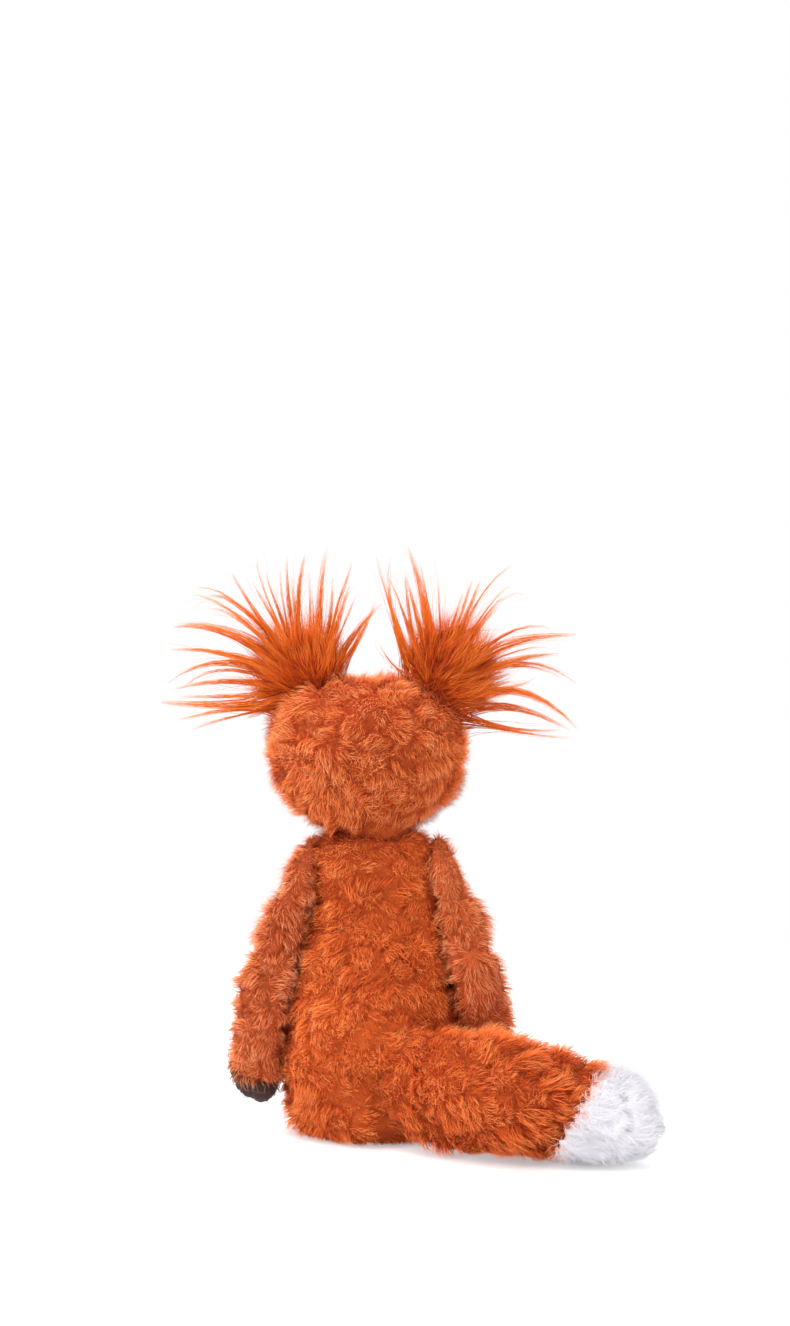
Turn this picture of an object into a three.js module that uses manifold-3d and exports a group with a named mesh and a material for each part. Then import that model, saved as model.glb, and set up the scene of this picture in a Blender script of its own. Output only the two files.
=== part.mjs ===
// A jointed plush fox that sits on the floor with its legs out in front and its tail laid to one side.
// Lengths are in millimetres and angles in degrees. +Z is up, the fox faces -Y and its left side is +X.
// The origin is the middle of the flat seat under the body.
// Every stuffed part is a skin with a filling inside. A swelling form is written as a table of shares
// of its own length, half width and half depth, and is shrunk all round to find what lies inside it.

import * as THREE from 'three';
import { mergeVertices } from 'three/addons/utils/BufferGeometryUtils.js';
import Module from 'manifold-3d';

// Cloth and fits
const skinThickness = 5; // backing cloth with the dense foot of its pile
const seamGap = 0.35; // between two pieces that are sewn or pressed together
const fillingGap = 0.8; // between a skin and the plainer filling inside it
const cutOverrun = 15; // how far a cutter runs past what it cuts
const floorGap = 0.8; // under the legs and the tail, so that the seat carries the weight

// Torso
const torsoHeight = 195;
const torsoHalfWidth = 60;
const torsoHalfDepth = 57;
const bellyHeight = 138; // white panel on the front
const bellyHalfWidth = 41;
const bellyBottom = 34; // its lower end above the seat

// Bag of pellets that weighs down the seat
const pelletBagHeight = 28;
const pelletBagHalfWidth = 38;
const pelletBagHalfDepth = 24;
const pelletBagSetback = 13; // its middle behind the body's middle

// Neck
const neckRadius = 24;
const neckRise = 10; // middle of the neck above the top of the torso
const neckWall = 4;
const neckMouthRadius = 11; // hole through which the neck is stuffed
const neckPlay = 0.4; // further gap to the head, so that it nods over the flats of the neck

// Head
const headLength = 190; // back of the head to the end of the muzzle
const headHalfWidth = 64;
const headHalfHeight = 50;
const headBehindNeck = 45; // back of the head behind the neck's middle
const headLift = 45; // middle of the head above the neck's middle
const cheekHeight = 25; // top of the white cheeks below the middle of the head
const throatLine = 34; // where the white panel starts, in front of the neck's middle

// Nose and eyes
const noseHalfWidth = 11;
const noseHalfHeight = 8;
const noseHalfDepth = 7;
const noseProud = 1; // middle of the nose in front of the end of the muzzle
const eyeRadius = 7;
const eyeHeight = 4.5;
const eyeShankRadius = 1.8;
const eyeShankLength = 12;
const eyeSeatDepth = 1; // how deep the back of the eye sits in the pile
const washerRadius = 8;
const washerThickness = 1.5;

// Ears
const earLength = 62;
const earHalfWidth = 29;
const earHalfThickness = 8;
const earRootRadius = 6.5; // rolled seam along which an ear folds
const earRootHalfLength = 21;
const earRootDepth = 3; // middle of the rolled seam below the skin
const earFoldAngle = 25;
const tuftLength = 96; // longest lock of ear hair, from the ear's root
const tuftRadius = 8;
const tuftDroop = 9; // how far the end of a lock bends outward

// Arms
const armLength = 165;
const armHalfWidth = 22;
const armHalfThickness = 18.5;
const armLean = 10.2; // away from upright
const shoulderInset = 5; // shoulder seam inside the side of the torso
const shoulderDrop = 12; // shoulder seam below the top of the torso
const shoulderSetback = 5;
const armCrown = 11; // how far the arm reaches above the shoulder seam
const pawLength = 16; // dark cap on the end of the arm
const pawSlant = 14;

// Legs
const legReach = 138; // hip line to the front of the sole
const legHalfThickness = 18.5;
const legHalfSpan = 33; // middle of the body to the middle of a leg
const hipRounding = 8; // rounded edge of the hip
const hipInset = 13; // hip line behind the front of the torso
const footHeight = 53;
const footHalfWidth = 21.5;
const footHalfDepth = 20;
const soleThickness = 10;

// Tail
const tailLength = 180;
const tailHalfWidth = 38;
const tailHalfHeight = 39;
const tailRootRadius = 4.5; // rolled seam on which the tail swings
const tailRootHalfHeight = 27;
const tailPlugLength = 24; // flattened root that holds no filling
const tailRestAngle = 80; // from straight back towards the fox's right
const tailTipLength = 44; // white end, measured on the tail's middle line

// Shapes as shares. Each row: place along the form, half width, half depth,
// sideways shift of the middle in half widths, and its shift in half depths.
const torsoShares = [
  [0.0, 0.84, 0.8, 0, 0.02],
  [0.05, 0.94, 0.93, 0, 0.02],
  [0.13, 0.99, 0.99, 0, 0.02],
  [0.26, 1.0, 1.0, 0, 0.02],
  [0.4, 0.95, 0.97, 0, 0],
  [0.55, 0.83, 0.89, 0, -0.05],
  [0.7, 0.75, 0.76, 0, -0.09],
  [0.85, 0.71, 0.62, 0, -0.05],
  [0.95, 0.7, 0.55, 0, 0],
  [1.0, 0.68, 0.52, 0, 0],
];
const headShares = [
  [0.0, 0.9, 0.9, 0, 0.04],
  [0.12, 0.97, 0.97, 0, 0.04],
  [0.24, 1.0, 1.0, 0, 0],
  [0.37, 0.99, 0.97, 0, -0.06],
  [0.5, 0.9, 0.89, 0, -0.21],
  [0.63, 0.7, 0.73, 0, -0.47],
  [0.76, 0.48, 0.52, 0, -0.8],
  [0.88, 0.37, 0.41, 0, -1.0],
  [1.0, 0.3, 0.35, 0, -1.12],
];
const armShares = [
  [0.0, 0.8, 0.5, 0, 0.1],
  [0.1, 0.82, 0.6, 0, 0.32],
  [0.22, 0.84, 0.7, 0.12, 0.53],
  [0.33, 0.9, 0.8, 0.28, 0.64],
  [0.45, 0.95, 0.91, 0.36, 0.75],
  [0.65, 1.0, 1.0, 0.36, 0.84],
  [0.8, 1.0, 1.0, 0.26, 0.86],
  [0.92, 0.94, 0.93, 0.1, 0.84],
  [1.0, 0.88, 0.86, 0.0, 0.84],
];
const legShares = [
  [0.0, 0.97, 0.97, 0, 0],
  [0.5, 0.97, 0.97, 0, 0],
  [0.8, 1.02, 1.04, 0, 0.05],
  [1.0, 1.1, 1.18, 0, 0.18],
];
const footShares = [
  [0.0, 0.86, 0.84, 0, 0.06],
  [0.3, 0.98, 1.0, 0, 0.03],
  [0.6, 1.0, 0.96, 0, -0.03],
  [0.85, 0.96, 0.84, 0, -0.1],
  [1.0, 0.9, 0.72, 0, -0.14],
];
const tailShares = [
  [0.0, 0.08, 0.72, 0, 0.1],
  [0.1, 0.2, 0.87, 0, 0.09],
  [0.2, 0.47, 0.96, 0, 0.04],
  [0.33, 0.8, 1.0, 0, 0.0],
  [0.5, 0.99, 1.0, 0, 0.0],
  [0.62, 1.0, 0.98, 0, -0.02],
  [0.76, 0.88, 0.89, 0, -0.09],
  [0.9, 0.72, 0.76, 0, -0.19],
  [1.0, 0.62, 0.66, 0, -0.28],
];
const earShares = [
  [0.0, 0.78, 0.6, 0, 0],
  [0.15, 0.9, 0.75, 0, 0],
  [0.4, 1.0, 1.0, 0, 0],
  [0.7, 0.74, 0.8, 0, 0],
  [0.9, 0.4, 0.5, 0, 0],
  [1.0, 0.24, 0.35, 0, 0],
];

// Belly panel: place along its height and half width, both as shares
const bellyShares = [
  [0.0, 0.42],
  [0.06, 0.66],
  [0.18, 0.9],
  [0.36, 1.0],
  [0.55, 0.88],
  [0.75, 0.55],
  [0.9, 0.24],
  [1.0, 0.06],
];

// White face panel seen from the side: place from the throat to the muzzle's end, as a share of the
// way, and drop below the cheek line, as a share of the head's half height
const cheekShares = [
  [-0.2, 0.0],
  [0.1, -0.02],
  [0.4, 0.08],
  [0.7, 0.3],
  [0.9, 0.5],
  [1.0, 0.56],
];

// Locks of ear hair: fan angle as a share of a right angle, length, place of the root along the ear
// and across it, and lean to the back, as shares of length, ear length, ear half width and length
const tuftShares = [
  [-0.62, 0.8, 0.3, -0.5, 0.1],
  [-0.44, 0.95, 0.45, -0.35, -0.08],
  [-0.26, 0.93, 0.55, -0.2, 0.12],
  [-0.08, 0.9, 0.6, 0.0, -0.1],
  [0.12, 0.95, 0.6, 0.1, 0.1],
  [0.32, 0.98, 0.5, 0.25, -0.06],
  [0.52, 1.0, 0.4, 0.4, 0.08],
  [0.7, 0.96, 0.28, 0.5, -0.1],
  [0.86, 0.84, 0.2, 0.55, 0.06],
  [-0.35, 0.72, 0.4, -0.3, 0.42],
  [0.02, 0.76, 0.5, 0.0, 0.45],
  [0.4, 0.76, 0.4, 0.3, 0.42],
  [-0.15, 0.72, 0.45, -0.2, -0.42],
  [0.3, 0.74, 0.45, 0.2, -0.42],
];

// Round ends: how much of a form's length each round end takes
const torsoTopRoundShare = 0.07;
const headBackRoundShare = 0.24;
const muzzleRoundShare = 0.13;
const shoulderRoundShare = 0.12;
const pawRoundShare = 0.13;
const footRoundShare = 0.24;
const soleRoundShare = 0.1;
const tailTipRoundShare = 0.18;
const earTipRoundShare = 0.2;
const bagRoundShare = 0.5;

// Where the eyes lie: place along the head, and angle up from its side
const eyePlaceShare = 0.615;
const eyeAngle = 38;
// Where the ears lie: place along the head, and angle up from its side
const earPlaceShare = 0.235;
const earAngle = 50;

// Fineness: sides round a form and rings along it
const fineTorso = [26, 13];
const fineHead = [24, 13];
const fineLimb = [16, 9];
const fineLeg = [16, 5];
const fineFoot = [12, 7];
const fineTail = [20, 11];
const fineEar = [12, 6];
const fineBag = [16, 7];
const fineTuft = [5, 4];
const ballSegments = 16;
const shankSides = 6;
const hipSteps = 2;
const swingStep = 16; // degrees between the places at which a swinging piece is trimmed

// Worked out from the sizes above
const neckHeight = torsoHeight + neckRise;
const headMiddle = neckHeight + headLift;
const muzzleEnd = headBehindNeck - headLength;
const hipForward = torsoHalfDepth - hipInset;
const hipHeight = legHalfThickness + floorGap;
const tailMiddle = tailHalfHeight + floorGap;
const shoulderHeight = torsoHeight - shoulderDrop;
const washerSag = washerRadius ** 2 / headHalfWidth; // the skin curves over the flat washer

const wasm = await Module();
wasm.setup();

const radians = THREE.MathUtils.degToRad;

// Half as many sides on the same rings, for a filling that lies inside its skin
const halved = ([sides, rings]) => [sides / 2, rings];

// Turns a closed geometry into a solid that can be cut and joined
function solidOf(geometry) {
  const bare = new THREE.BufferGeometry();
  bare.setAttribute('position', geometry.getAttribute('position'));
  if (geometry.index) bare.setIndex(geometry.index);
  const merged = mergeVertices(bare);
  const triVerts = Uint32Array.from(merged.index.array);
  const vertProperties = Float32Array.from(merged.getAttribute('position').array);
  return new wasm.Manifold(new wasm.Mesh({ numProp: 3, vertProperties, triVerts }));
}

// Turns a solid back into a mesh with its own name and material
function meshOf(name, solid, material) {
  const { vertProperties, triVerts } = solid.getMesh();
  const geometry = new THREE.BufferGeometry();
  geometry.setAttribute('position', new THREE.BufferAttribute(vertProperties, 3));
  geometry.setIndex(new THREE.BufferAttribute(triVerts, 1));
  geometry.computeVertexNormals();
  const mesh = new THREE.Mesh(geometry, material);
  mesh.name = name;
  return mesh;
}

// Value of one column of a table at a place between its rows, on a smooth curve
function columnAt(table, place, column) {
  const last = table.length - 1;
  let row = 0;
  while (row < last - 1 && table[row + 1][0] < place) row += 1;
  const slopeAt = (index) => {
    const before = table[Math.max(index - 1, 0)];
    const after = table[Math.min(index + 1, last)];
    return (after[column] - before[column]) / (after[0] - before[0]);
  };
  const start = table[row];
  const end = table[row + 1];
  const span = end[0] - start[0];
  const t = THREE.MathUtils.clamp((place - start[0]) / span, 0, 1);
  const startWeight = (1 + 2 * t) * (1 - t) ** 2;
  const endWeight = (3 - 2 * t) * t ** 2;
  const startPull = t * (1 - t) ** 2 * span * slopeAt(row);
  const endPull = t ** 2 * (t - 1) * span * slopeAt(row + 1);
  return startWeight * start[column] + endWeight * end[column] + startPull + endPull;
}

// How far a round end draws a form in: 1 along the middle, 0 at the very end
function roundedShare(fromEndShare, roundShare) {
  if (roundShare === 0) return 1;
  const near = Math.min(fromEndShare / roundShare, 1);
  return Math.sqrt(near * (2 - near));
}

// Joins rings of points, with a point at each end, into a closed geometry that faces outward
function ringsToGeometry(startTip, rings, endTip) {
  const sides = rings[0].length;
  const points = [startTip, ...rings.flat(), endTip];
  const tipIndex = points.length - 1;
  const at = (ring, side) => 1 + ring * sides + (side % sides);
  const faces = [];
  for (let side = 0; side < sides; side += 1) {
    faces.push([0, at(0, side), at(0, side + 1)]);
    for (let ring = 0; ring < rings.length - 1; ring += 1) {
      faces.push([at(ring, side), at(ring + 1, side), at(ring + 1, side + 1)]);
      faces.push([at(ring, side), at(ring + 1, side + 1), at(ring, side + 1)]);
    }
    faces.push([at(rings.length - 1, side), tipIndex, at(rings.length - 1, side + 1)]);
  }
  const corner = new THREE.Vector3();
  const volumeOf = ([a, b, c]) => points[a].dot(corner.crossVectors(points[b], points[c]));
  const inward = faces.reduce((sum, face) => sum + volumeOf(face), 0) < 0;
  const geometry = new THREE.BufferGeometry().setFromPoints(points);
  geometry.setIndex(faces.flatMap(([a, b, c]) => (inward ? [a, c, b] : [a, b, c])));
  return geometry;
}

// One point on a form, at a share of its length and an angle round it, shrunk by inset
function formPoint(form, share, angle, inset) {
  const { table, length, halfWidth, halfDepth, startRoundShare, endRoundShare, place } = form;
  const drawnIn = roundedShare(share, startRoundShare) * roundedShare(1 - share, endRoundShare);
  const width = Math.max(halfWidth * columnAt(table, share, 1) - inset, 0.1 * seamGap) * drawnIn;
  const depth = Math.max(halfDepth * columnAt(table, share, 2) - inset, 0.1 * seamGap) * drawnIn;
  const across = halfWidth * columnAt(table, share, 3) + width * Math.cos(angle);
  const deep = halfDepth * columnAt(table, share, 4) + depth * Math.sin(angle);
  const along = THREE.MathUtils.lerp(inset, length - inset, share);
  return place(along, across, deep);
}

// Middle of a form at a share of its length
function formMiddle(form, share, inset) {
  const across = form.halfWidth * columnAt(form.table, share, 3);
  const deep = form.halfDepth * columnAt(form.table, share, 4);
  return form.place(THREE.MathUtils.lerp(inset, form.length - inset, share), across, deep);
}

// A swelling, tapering solid, shrunk all round by inset
function stuffedSolid(form, inset, [sides, ringCount]) {
  const rings = [];
  const firstRing = form.startRoundShare > 0 ? 1 : 0;
  const lastRing = form.endRoundShare > 0 ? ringCount - 1 : ringCount;
  for (let ring = firstRing; ring <= lastRing; ring += 1) {
    const share = (1 - Math.cos((Math.PI * ring) / ringCount)) / 2;
    const angles = Array.from({ length: sides }, (_, side) => (2 * Math.PI * side) / sides);
    rings.push(angles.map((angle) => formPoint(form, share, angle, inset)));
  }
  return solidOf(ringsToGeometry(formMiddle(form, 0, inset), rings, formMiddle(form, 1, inset)));
}

// A solid of revolution about +Z from points of radius and height, placed by a matrix
function turnedSolid(profile, sides, matrix) {
  const lathe = new THREE.LatheGeometry(profile.map(([r, z]) => new THREE.Vector2(r, z)), sides);
  lathe.rotateX(Math.PI / 2);
  if (matrix) lathe.applyMatrix4(matrix);
  return solidOf(lathe);
}

// A box from its lowest corner to its highest
function boxSolid(low, high) {
  const size = high.clone().sub(low);
  const middle = low.clone().add(high).multiplyScalar(0.5);
  const geometry = new THREE.BoxGeometry(size.x, size.y, size.z);
  return solidOf(geometry.translate(middle.x, middle.y, middle.z));
}

// A ball, or a ball stretched to three half sizes
function ballSolid(middle, halfX, halfY, halfZ) {
  const geometry = new THREE.SphereGeometry(1, ballSegments, ballSegments / 2);
  geometry.rotateX(Math.PI / 2).scale(halfX, halfY, halfZ);
  return solidOf(geometry.translate(middle.x, middle.y, middle.z));
}

// A flat outline in Y and Z, extruded across the body from one X to another
function sideExtrusion(points, fromX, toX) {
  const shape = new THREE.Shape(points.map(([y, z]) => new THREE.Vector2(y, z)));
  const geometry = new THREE.ExtrudeGeometry(shape, { depth: toX - fromX, bevelEnabled: false });
  const basis = new THREE.Matrix4().makeBasis(
    new THREE.Vector3(0, 1, 0),
    new THREE.Vector3(0, 0, 1),
    new THREE.Vector3(1, 0, 0),
  );
  return solidOf(geometry.applyMatrix4(basis).translate(fromX, 0, 0));
}

// A matrix that turns by an angle about an axis through a point
function turnAbout(point, axis, degrees) {
  const there = new THREE.Matrix4().makeTranslation(point.x, point.y, point.z);
  const back = new THREE.Matrix4().makeTranslation(-point.x, -point.y, -point.z);
  const turn = new THREE.Matrix4().makeRotationAxis(axis, radians(degrees));
  return there.multiply(turn).multiply(back);
}

// Trims a piece so that it stays clear of a blocker while it swings between two angles
function clearOfSwing(piece, blocker, point, axis, fromAngle, toAngle) {
  const steps = Math.ceil((toAngle - fromAngle) / swingStep);
  let trimmed = piece;
  for (let step = 0; step <= steps; step += 1) {
    const angle = THREE.MathUtils.lerp(fromAngle, toAngle, step / steps);
    trimmed = trimmed.subtract(blocker.transform(turnAbout(point, axis, -angle).elements));
  }
  return trimmed;
}

// A matrix that puts +Z along a direction, at a point
function aimedAt(point, direction) {
  const turn = new THREE.Quaternion().setFromUnitVectors(new THREE.Vector3(0, 0, 1), direction);
  return new THREE.Matrix4().compose(point, turn, new THREE.Vector3(1, 1, 1));
}

// Materials
function plush(color) {
  return new THREE.MeshStandardMaterial({ color, roughness: 0.95, metalness: 0 });
}
const orangePlush = plush(0xc8602f);
const earPlush = plush(0xdc6c22);
const whitePlush = plush(0xf0ecec);
const brownPlush = plush(0x4b3534);
const noseVelvet = new THREE.MeshStandardMaterial({ color: 0x4a2526, roughness: 0.8, metalness: 0 });
const stuffing = new THREE.MeshStandardMaterial({ color: 0xf4f2ee, roughness: 1, metalness: 0 });
const bagCloth = new THREE.MeshStandardMaterial({ color: 0xd8d2c4, roughness: 0.9, metalness: 0 });
const eyePlastic = new THREE.MeshStandardMaterial({ color: 0x0b0908, roughness: 0.15, metalness: 0 });
const washerPlastic = new THREE.MeshStandardMaterial({ color: 0xe6e6e2, roughness: 0.5, metalness: 0 });

// Forms of the body and the head
const torsoForm = {
  table: torsoShares,
  length: torsoHeight,
  halfWidth: torsoHalfWidth,
  halfDepth: torsoHalfDepth,
  startRoundShare: 0,
  endRoundShare: torsoTopRoundShare,
  place: (along, across, deep) => new THREE.Vector3(across, deep, along),
};
const headForm = {
  table: headShares,
  length: headLength,
  halfWidth: headHalfWidth,
  halfDepth: headHalfHeight,
  startRoundShare: headBackRoundShare,
  endRoundShare: muzzleRoundShare,
  place: (along, across, deep) =>
    new THREE.Vector3(across, headBehindNeck - along, headMiddle + deep),
};
const tailForm = {
  table: tailShares,
  length: tailLength,
  halfWidth: tailHalfWidth,
  halfDepth: tailHalfHeight,
  startRoundShare: 0,
  endRoundShare: tailTipRoundShare,
  place: (along, across, deep) => new THREE.Vector3(across, tailHinge.y + along, tailMiddle + deep),
};

// Hinge of the tail: a rolled upright seam let into the middle of the back
const tailRootShare = tailMiddle / torsoHeight;
const backShare = columnAt(torsoShares, tailRootShare, 2) + columnAt(torsoShares, tailRootShare, 4);
const tailHinge = new THREE.Vector3(
  0,
  torsoHalfDepth * backShare,
  tailMiddle + tailHalfHeight * tailShares[0][4],
);

// Rolled seam at the root of the tail, grown by clearance
function tailRoot(clearance) {
  const radius = tailRootRadius + clearance;
  const half = tailRootHalfHeight + clearance;
  const profile = [[0, -half], [radius, -half], [radius, half], [0, half]];
  const at = new THREE.Matrix4().makeTranslation(tailHinge.x, tailHinge.y, tailHinge.z);
  return turnedSolid(profile, shankSides * 2, at);
}

// Neck ball, grown by clearance
const neckMiddle = new THREE.Vector3(0, 0, neckHeight);
function neckBall(clearance) {
  const radius = neckRadius + clearance;
  return ballSolid(neckMiddle, radius, radius, radius);
}

// Space that a leg sweeps between straight out and straight down: round behind the hip line
function hipPocket(side, clearance) {
  const radius = legHalfThickness + clearance;
  const far = hipForward + torsoHalfDepth + cutOverrun;
  const outline = [[-far, hipHeight + radius], [-hipForward, hipHeight + radius]];
  for (let step = 1; step <= shankSides; step += 1) {
    const angle = (Math.PI / 2) * (1 - step / shankSides);
    outline.push([-hipForward + radius * Math.cos(angle), hipHeight + radius * Math.sin(angle)]);
  }
  outline.push([-hipForward + radius, -far], [-far, -far]);
  const inner = legHalfSpan - legHalfThickness - clearance;
  const outer = torsoHalfWidth + cutOverrun;
  return side > 0 ? sideExtrusion(outline, inner, outer) : sideExtrusion(outline, -outer, -inner);
}

// Directions of an arm: down its length, and out from the shoulder seam
const armDown = (side) =>
  new THREE.Vector3(side * Math.sin(radians(armLean)), 0, -Math.cos(radians(armLean)));
const armOut = (side) =>
  new THREE.Vector3(side * Math.cos(radians(armLean)), 0, Math.sin(radians(armLean)));
const sideAtShoulder = torsoHalfWidth * columnAt(torsoShares, shoulderHeight / torsoHeight, 1);
const shoulderPoint = (side) =>
  new THREE.Vector3(side * (sideAtShoulder - shoulderInset), shoulderSetback, shoulderHeight);

// Everything on one side of the shoulder seam's plane, moved out by offset
function shoulderBlock(side, offset, outward) {
  const reach = torsoHeight + torsoHalfWidth + cutOverrun;
  const low = outward > 0 ? offset : offset - reach;
  const high = outward > 0 ? offset + reach : offset;
  const box = boxSolid(new THREE.Vector3(-reach, -reach, low), new THREE.Vector3(reach, reach, high));
  return box.transform(aimedAt(shoulderPoint(side), armOut(side)).elements);
}

// Torso shrunk by inset, with room for the neck, the tail, the legs and the arms
function torsoSolid(inset, fineness) {
  const clearance = seamGap + inset;
  let solid = stuffedSolid(torsoForm, inset, fineness).subtract(neckBall(clearance));
  solid = solid.subtract(tailRoot(clearance));
  for (const side of [1, -1]) {
    solid = solid.subtract(hipPocket(side, clearance));
    solid = solid.subtract(shoulderBlock(side, -seamGap / 2 - inset, 1));
  }
  return solid;
}

// Prism in front of the body in the outline of the belly panel, grown by clearance
function bellyPrism(clearance) {
  const steps = fineTorso[1];
  const right = [];
  const left = [];
  for (let step = 0; step <= steps; step += 1) {
    const share = step / steps;
    const half = bellyHalfWidth * columnAt(bellyShares, share, 1) + clearance;
    const z = THREE.MathUtils.lerp(-clearance, bellyHeight + clearance, share) + bellyBottom;
    right.push(new THREE.Vector2(half, z));
    left.unshift(new THREE.Vector2(-half, z));
  }
  const depth = torsoHalfDepth + cutOverrun;
  const shape = new THREE.Shape([...right, ...left]);
  const geometry = new THREE.ExtrudeGeometry(shape, { depth, bevelEnabled: false });
  return solidOf(geometry.rotateX(Math.PI / 2));
}

function pelletBagSolid(clearance) {
  const bagForm = {
    table: [[0, 1, 1, 0, 0], [1, 1, 1, 0, 0]],
    length: pelletBagHeight,
    halfWidth: pelletBagHalfWidth,
    halfDepth: pelletBagHalfDepth,
    startRoundShare: bagRoundShare,
    endRoundShare: bagRoundShare,
    place: (along, across, deep) =>
      new THREE.Vector3(across, pelletBagSetback + deep, skinThickness + seamGap + along),
  };
  return stuffedSolid(bagForm, -clearance, fineBag);
}

function makeTorso() {
  const shell = torsoSolid(0, fineTorso).subtract(torsoSolid(skinThickness, fineTorso));
  const skin = shell.subtract(bellyPrism(seamGap));
  const panel = shell.intersect(bellyPrism(0));
  const filling = torsoSolid(skinThickness + fillingGap, halved(fineTorso)).subtract(pelletBagSolid(seamGap));
  return [
    meshOf('torso_skin', skin, orangePlush),
    meshOf('belly_panel', panel, whitePlush),
    meshOf('torso_filling', filling, stuffing),
    meshOf('seat_pellet_bag', pelletBagSolid(0), bagCloth),
  ];
}

function makeNeck() {
  const inner = neckBall(-neckWall);
  const mouth = turnedSolid(
    [[0, 0], [neckMouthRadius, 0], [neckMouthRadius, neckRadius * 2], [0, neckRadius * 2]],
    ballSegments,
    new THREE.Matrix4().makeTranslation(0, 0, neckHeight),
  );
  return [
    meshOf('neck_skin', neckBall(0).subtract(inner).subtract(mouth), orangePlush),
    meshOf('neck_filling', neckBall(-neckWall - seamGap), stuffing),
  ];
}

// Nose, grown by clearance
const noseMiddle = formMiddle(headForm, 1, 0).add(new THREE.Vector3(0, -noseProud, 0));
function noseSolid(clearance) {
  return ballSolid(
    noseMiddle,
    noseHalfWidth + clearance,
    noseHalfDepth + clearance,
    noseHalfHeight + clearance,
  );
}

// Point on the head's skin with the direction that faces away from it
function headSpot(side, placeShare, degrees) {
  const angle = radians(degrees);
  const small = radians(1);
  const point = formPoint(headForm, placeShare, angle, 0);
  const alongStep = formPoint(headForm, placeShare + small, angle, 0).sub(point);
  const roundStep = formPoint(headForm, placeShare, angle + small, 0).sub(point);
  const out = alongStep.cross(roundStep).normalize();
  const middle = formMiddle(headForm, placeShare, 0);
  if (out.dot(point.clone().sub(middle)) < 0) out.negate();
  point.x *= side;
  out.x *= side;
  return { point, out };
}

// Directions of an ear: along the rolled seam, away from the head, and straight back
function earFrame(side) {
  const { point, out } = headSpot(side, earPlaceShare, earAngle);
  const up = new THREE.Vector3(out.x, 0, out.z).normalize();
  const across = new THREE.Vector3(side * up.z, 0, -side * up.x);
  const hinge = point.clone().addScaledVector(up, -earRootDepth);
  return { hinge, up, across };
}

// Rolled seam at the root of an ear, grown by clearance
function earRoot(side, clearance) {
  const { hinge, across } = earFrame(side);
  const radius = earRootRadius + clearance;
  const half = earRootHalfLength + clearance;
  const profile = [[0, -half], [radius, -half], [radius, half], [0, half]];
  return turnedSolid(profile, shankSides * 2, aimedAt(hinge, across));
}

// Hole for an eye: a shallow seat in the pile and a bore for the shank
function eyeCut(side) {
  const { point, out } = headSpot(side, eyePlaceShare, eyeAngle);
  const seat = eyeRadius + seamGap;
  const bore = eyeShankRadius + seamGap;
  const profile = [
    [0, -eyeShankLength],
    [bore, -eyeShankLength],
    [bore, -eyeSeatDepth - seamGap],
    [seat, -eyeSeatDepth - seamGap],
    [seat, eyeRadius],
    [0, eyeRadius],
  ];
  return turnedSolid(profile, shankSides * 2, aimedAt(point, out));
}

// Head shrunk by inset, with room for the neck, the nose and the ears
function headSolid(inset, fineness) {
  const clearance = seamGap + inset;
  let solid = stuffedSolid(headForm, inset, fineness);
  solid = solid.subtract(neckBall(clearance + neckPlay)).subtract(noseSolid(clearance));
  for (const side of [1, -1]) solid = solid.subtract(earRoot(side, clearance));
  return solid;
}

// Block in the outline of the white face panel, lowered by clearance
function faceBlock(clearance) {
  const throat = -throatLine - clearance;
  const top = headMiddle - cheekHeight - clearance;
  const below = neckHeight - neckRadius - cutOverrun - headHalfHeight;
  const outline = [[throat, below]];
  for (let step = 0; step <= fineHead[1]; step += 1) {
    const share = THREE.MathUtils.lerp(cheekShares[0][0], 1, step / fineHead[1]);
    const y = THREE.MathUtils.lerp(-throatLine, muzzleEnd, share) - clearance;
    outline.push([y, top - headHalfHeight * columnAt(cheekShares, share, 1)]);
  }
  const front = muzzleEnd - cutOverrun;
  outline.push([front, outline.at(-1)[1]], [front, below]);
  const half = headHalfWidth + cutOverrun;
  return sideExtrusion(outline, -half, half);
}

// Eye with its shank, and the washer that locks it behind the skin
function makeEye(side, name) {
  const { point, out } = headSpot(side, eyePlaceShare, eyeAngle);
  const profile = [[0, -eyeShankLength], [eyeShankRadius, -eyeShankLength]];
  profile.push([eyeShankRadius, -eyeSeatDepth]);
  for (let step = 0; step < shankSides / 2; step += 1) {
    const angle = (Math.PI / 2) * (step / (shankSides / 2));
    profile.push([eyeRadius * Math.cos(angle), eyeHeight * Math.sin(angle) - eyeSeatDepth]);
  }
  profile.push([0, eyeHeight - eyeSeatDepth]);
  return meshOf(`${name}_eye`, turnedSolid(profile, shankSides * 2, aimedAt(point, out)), eyePlastic);
}

// Washer ring, grown by clearance. Its bore grips the shank with the seam gap.
function washerSolid(side, clearance) {
  const { point, out } = headSpot(side, eyePlaceShare, eyeAngle);
  const outer = washerRadius + clearance;
  const bore = clearance > 0 ? 0 : eyeShankRadius + seamGap;
  const high = -skinThickness - seamGap - washerSag + clearance;
  const low = high - washerThickness - 2 * clearance;
  const profile = [[bore, low], [outer, low], [outer, high], [bore, high]];
  if (bore > 0) profile.push([bore, low]);
  return turnedSolid(profile, shankSides * 2, aimedAt(point, out));
}

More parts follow.
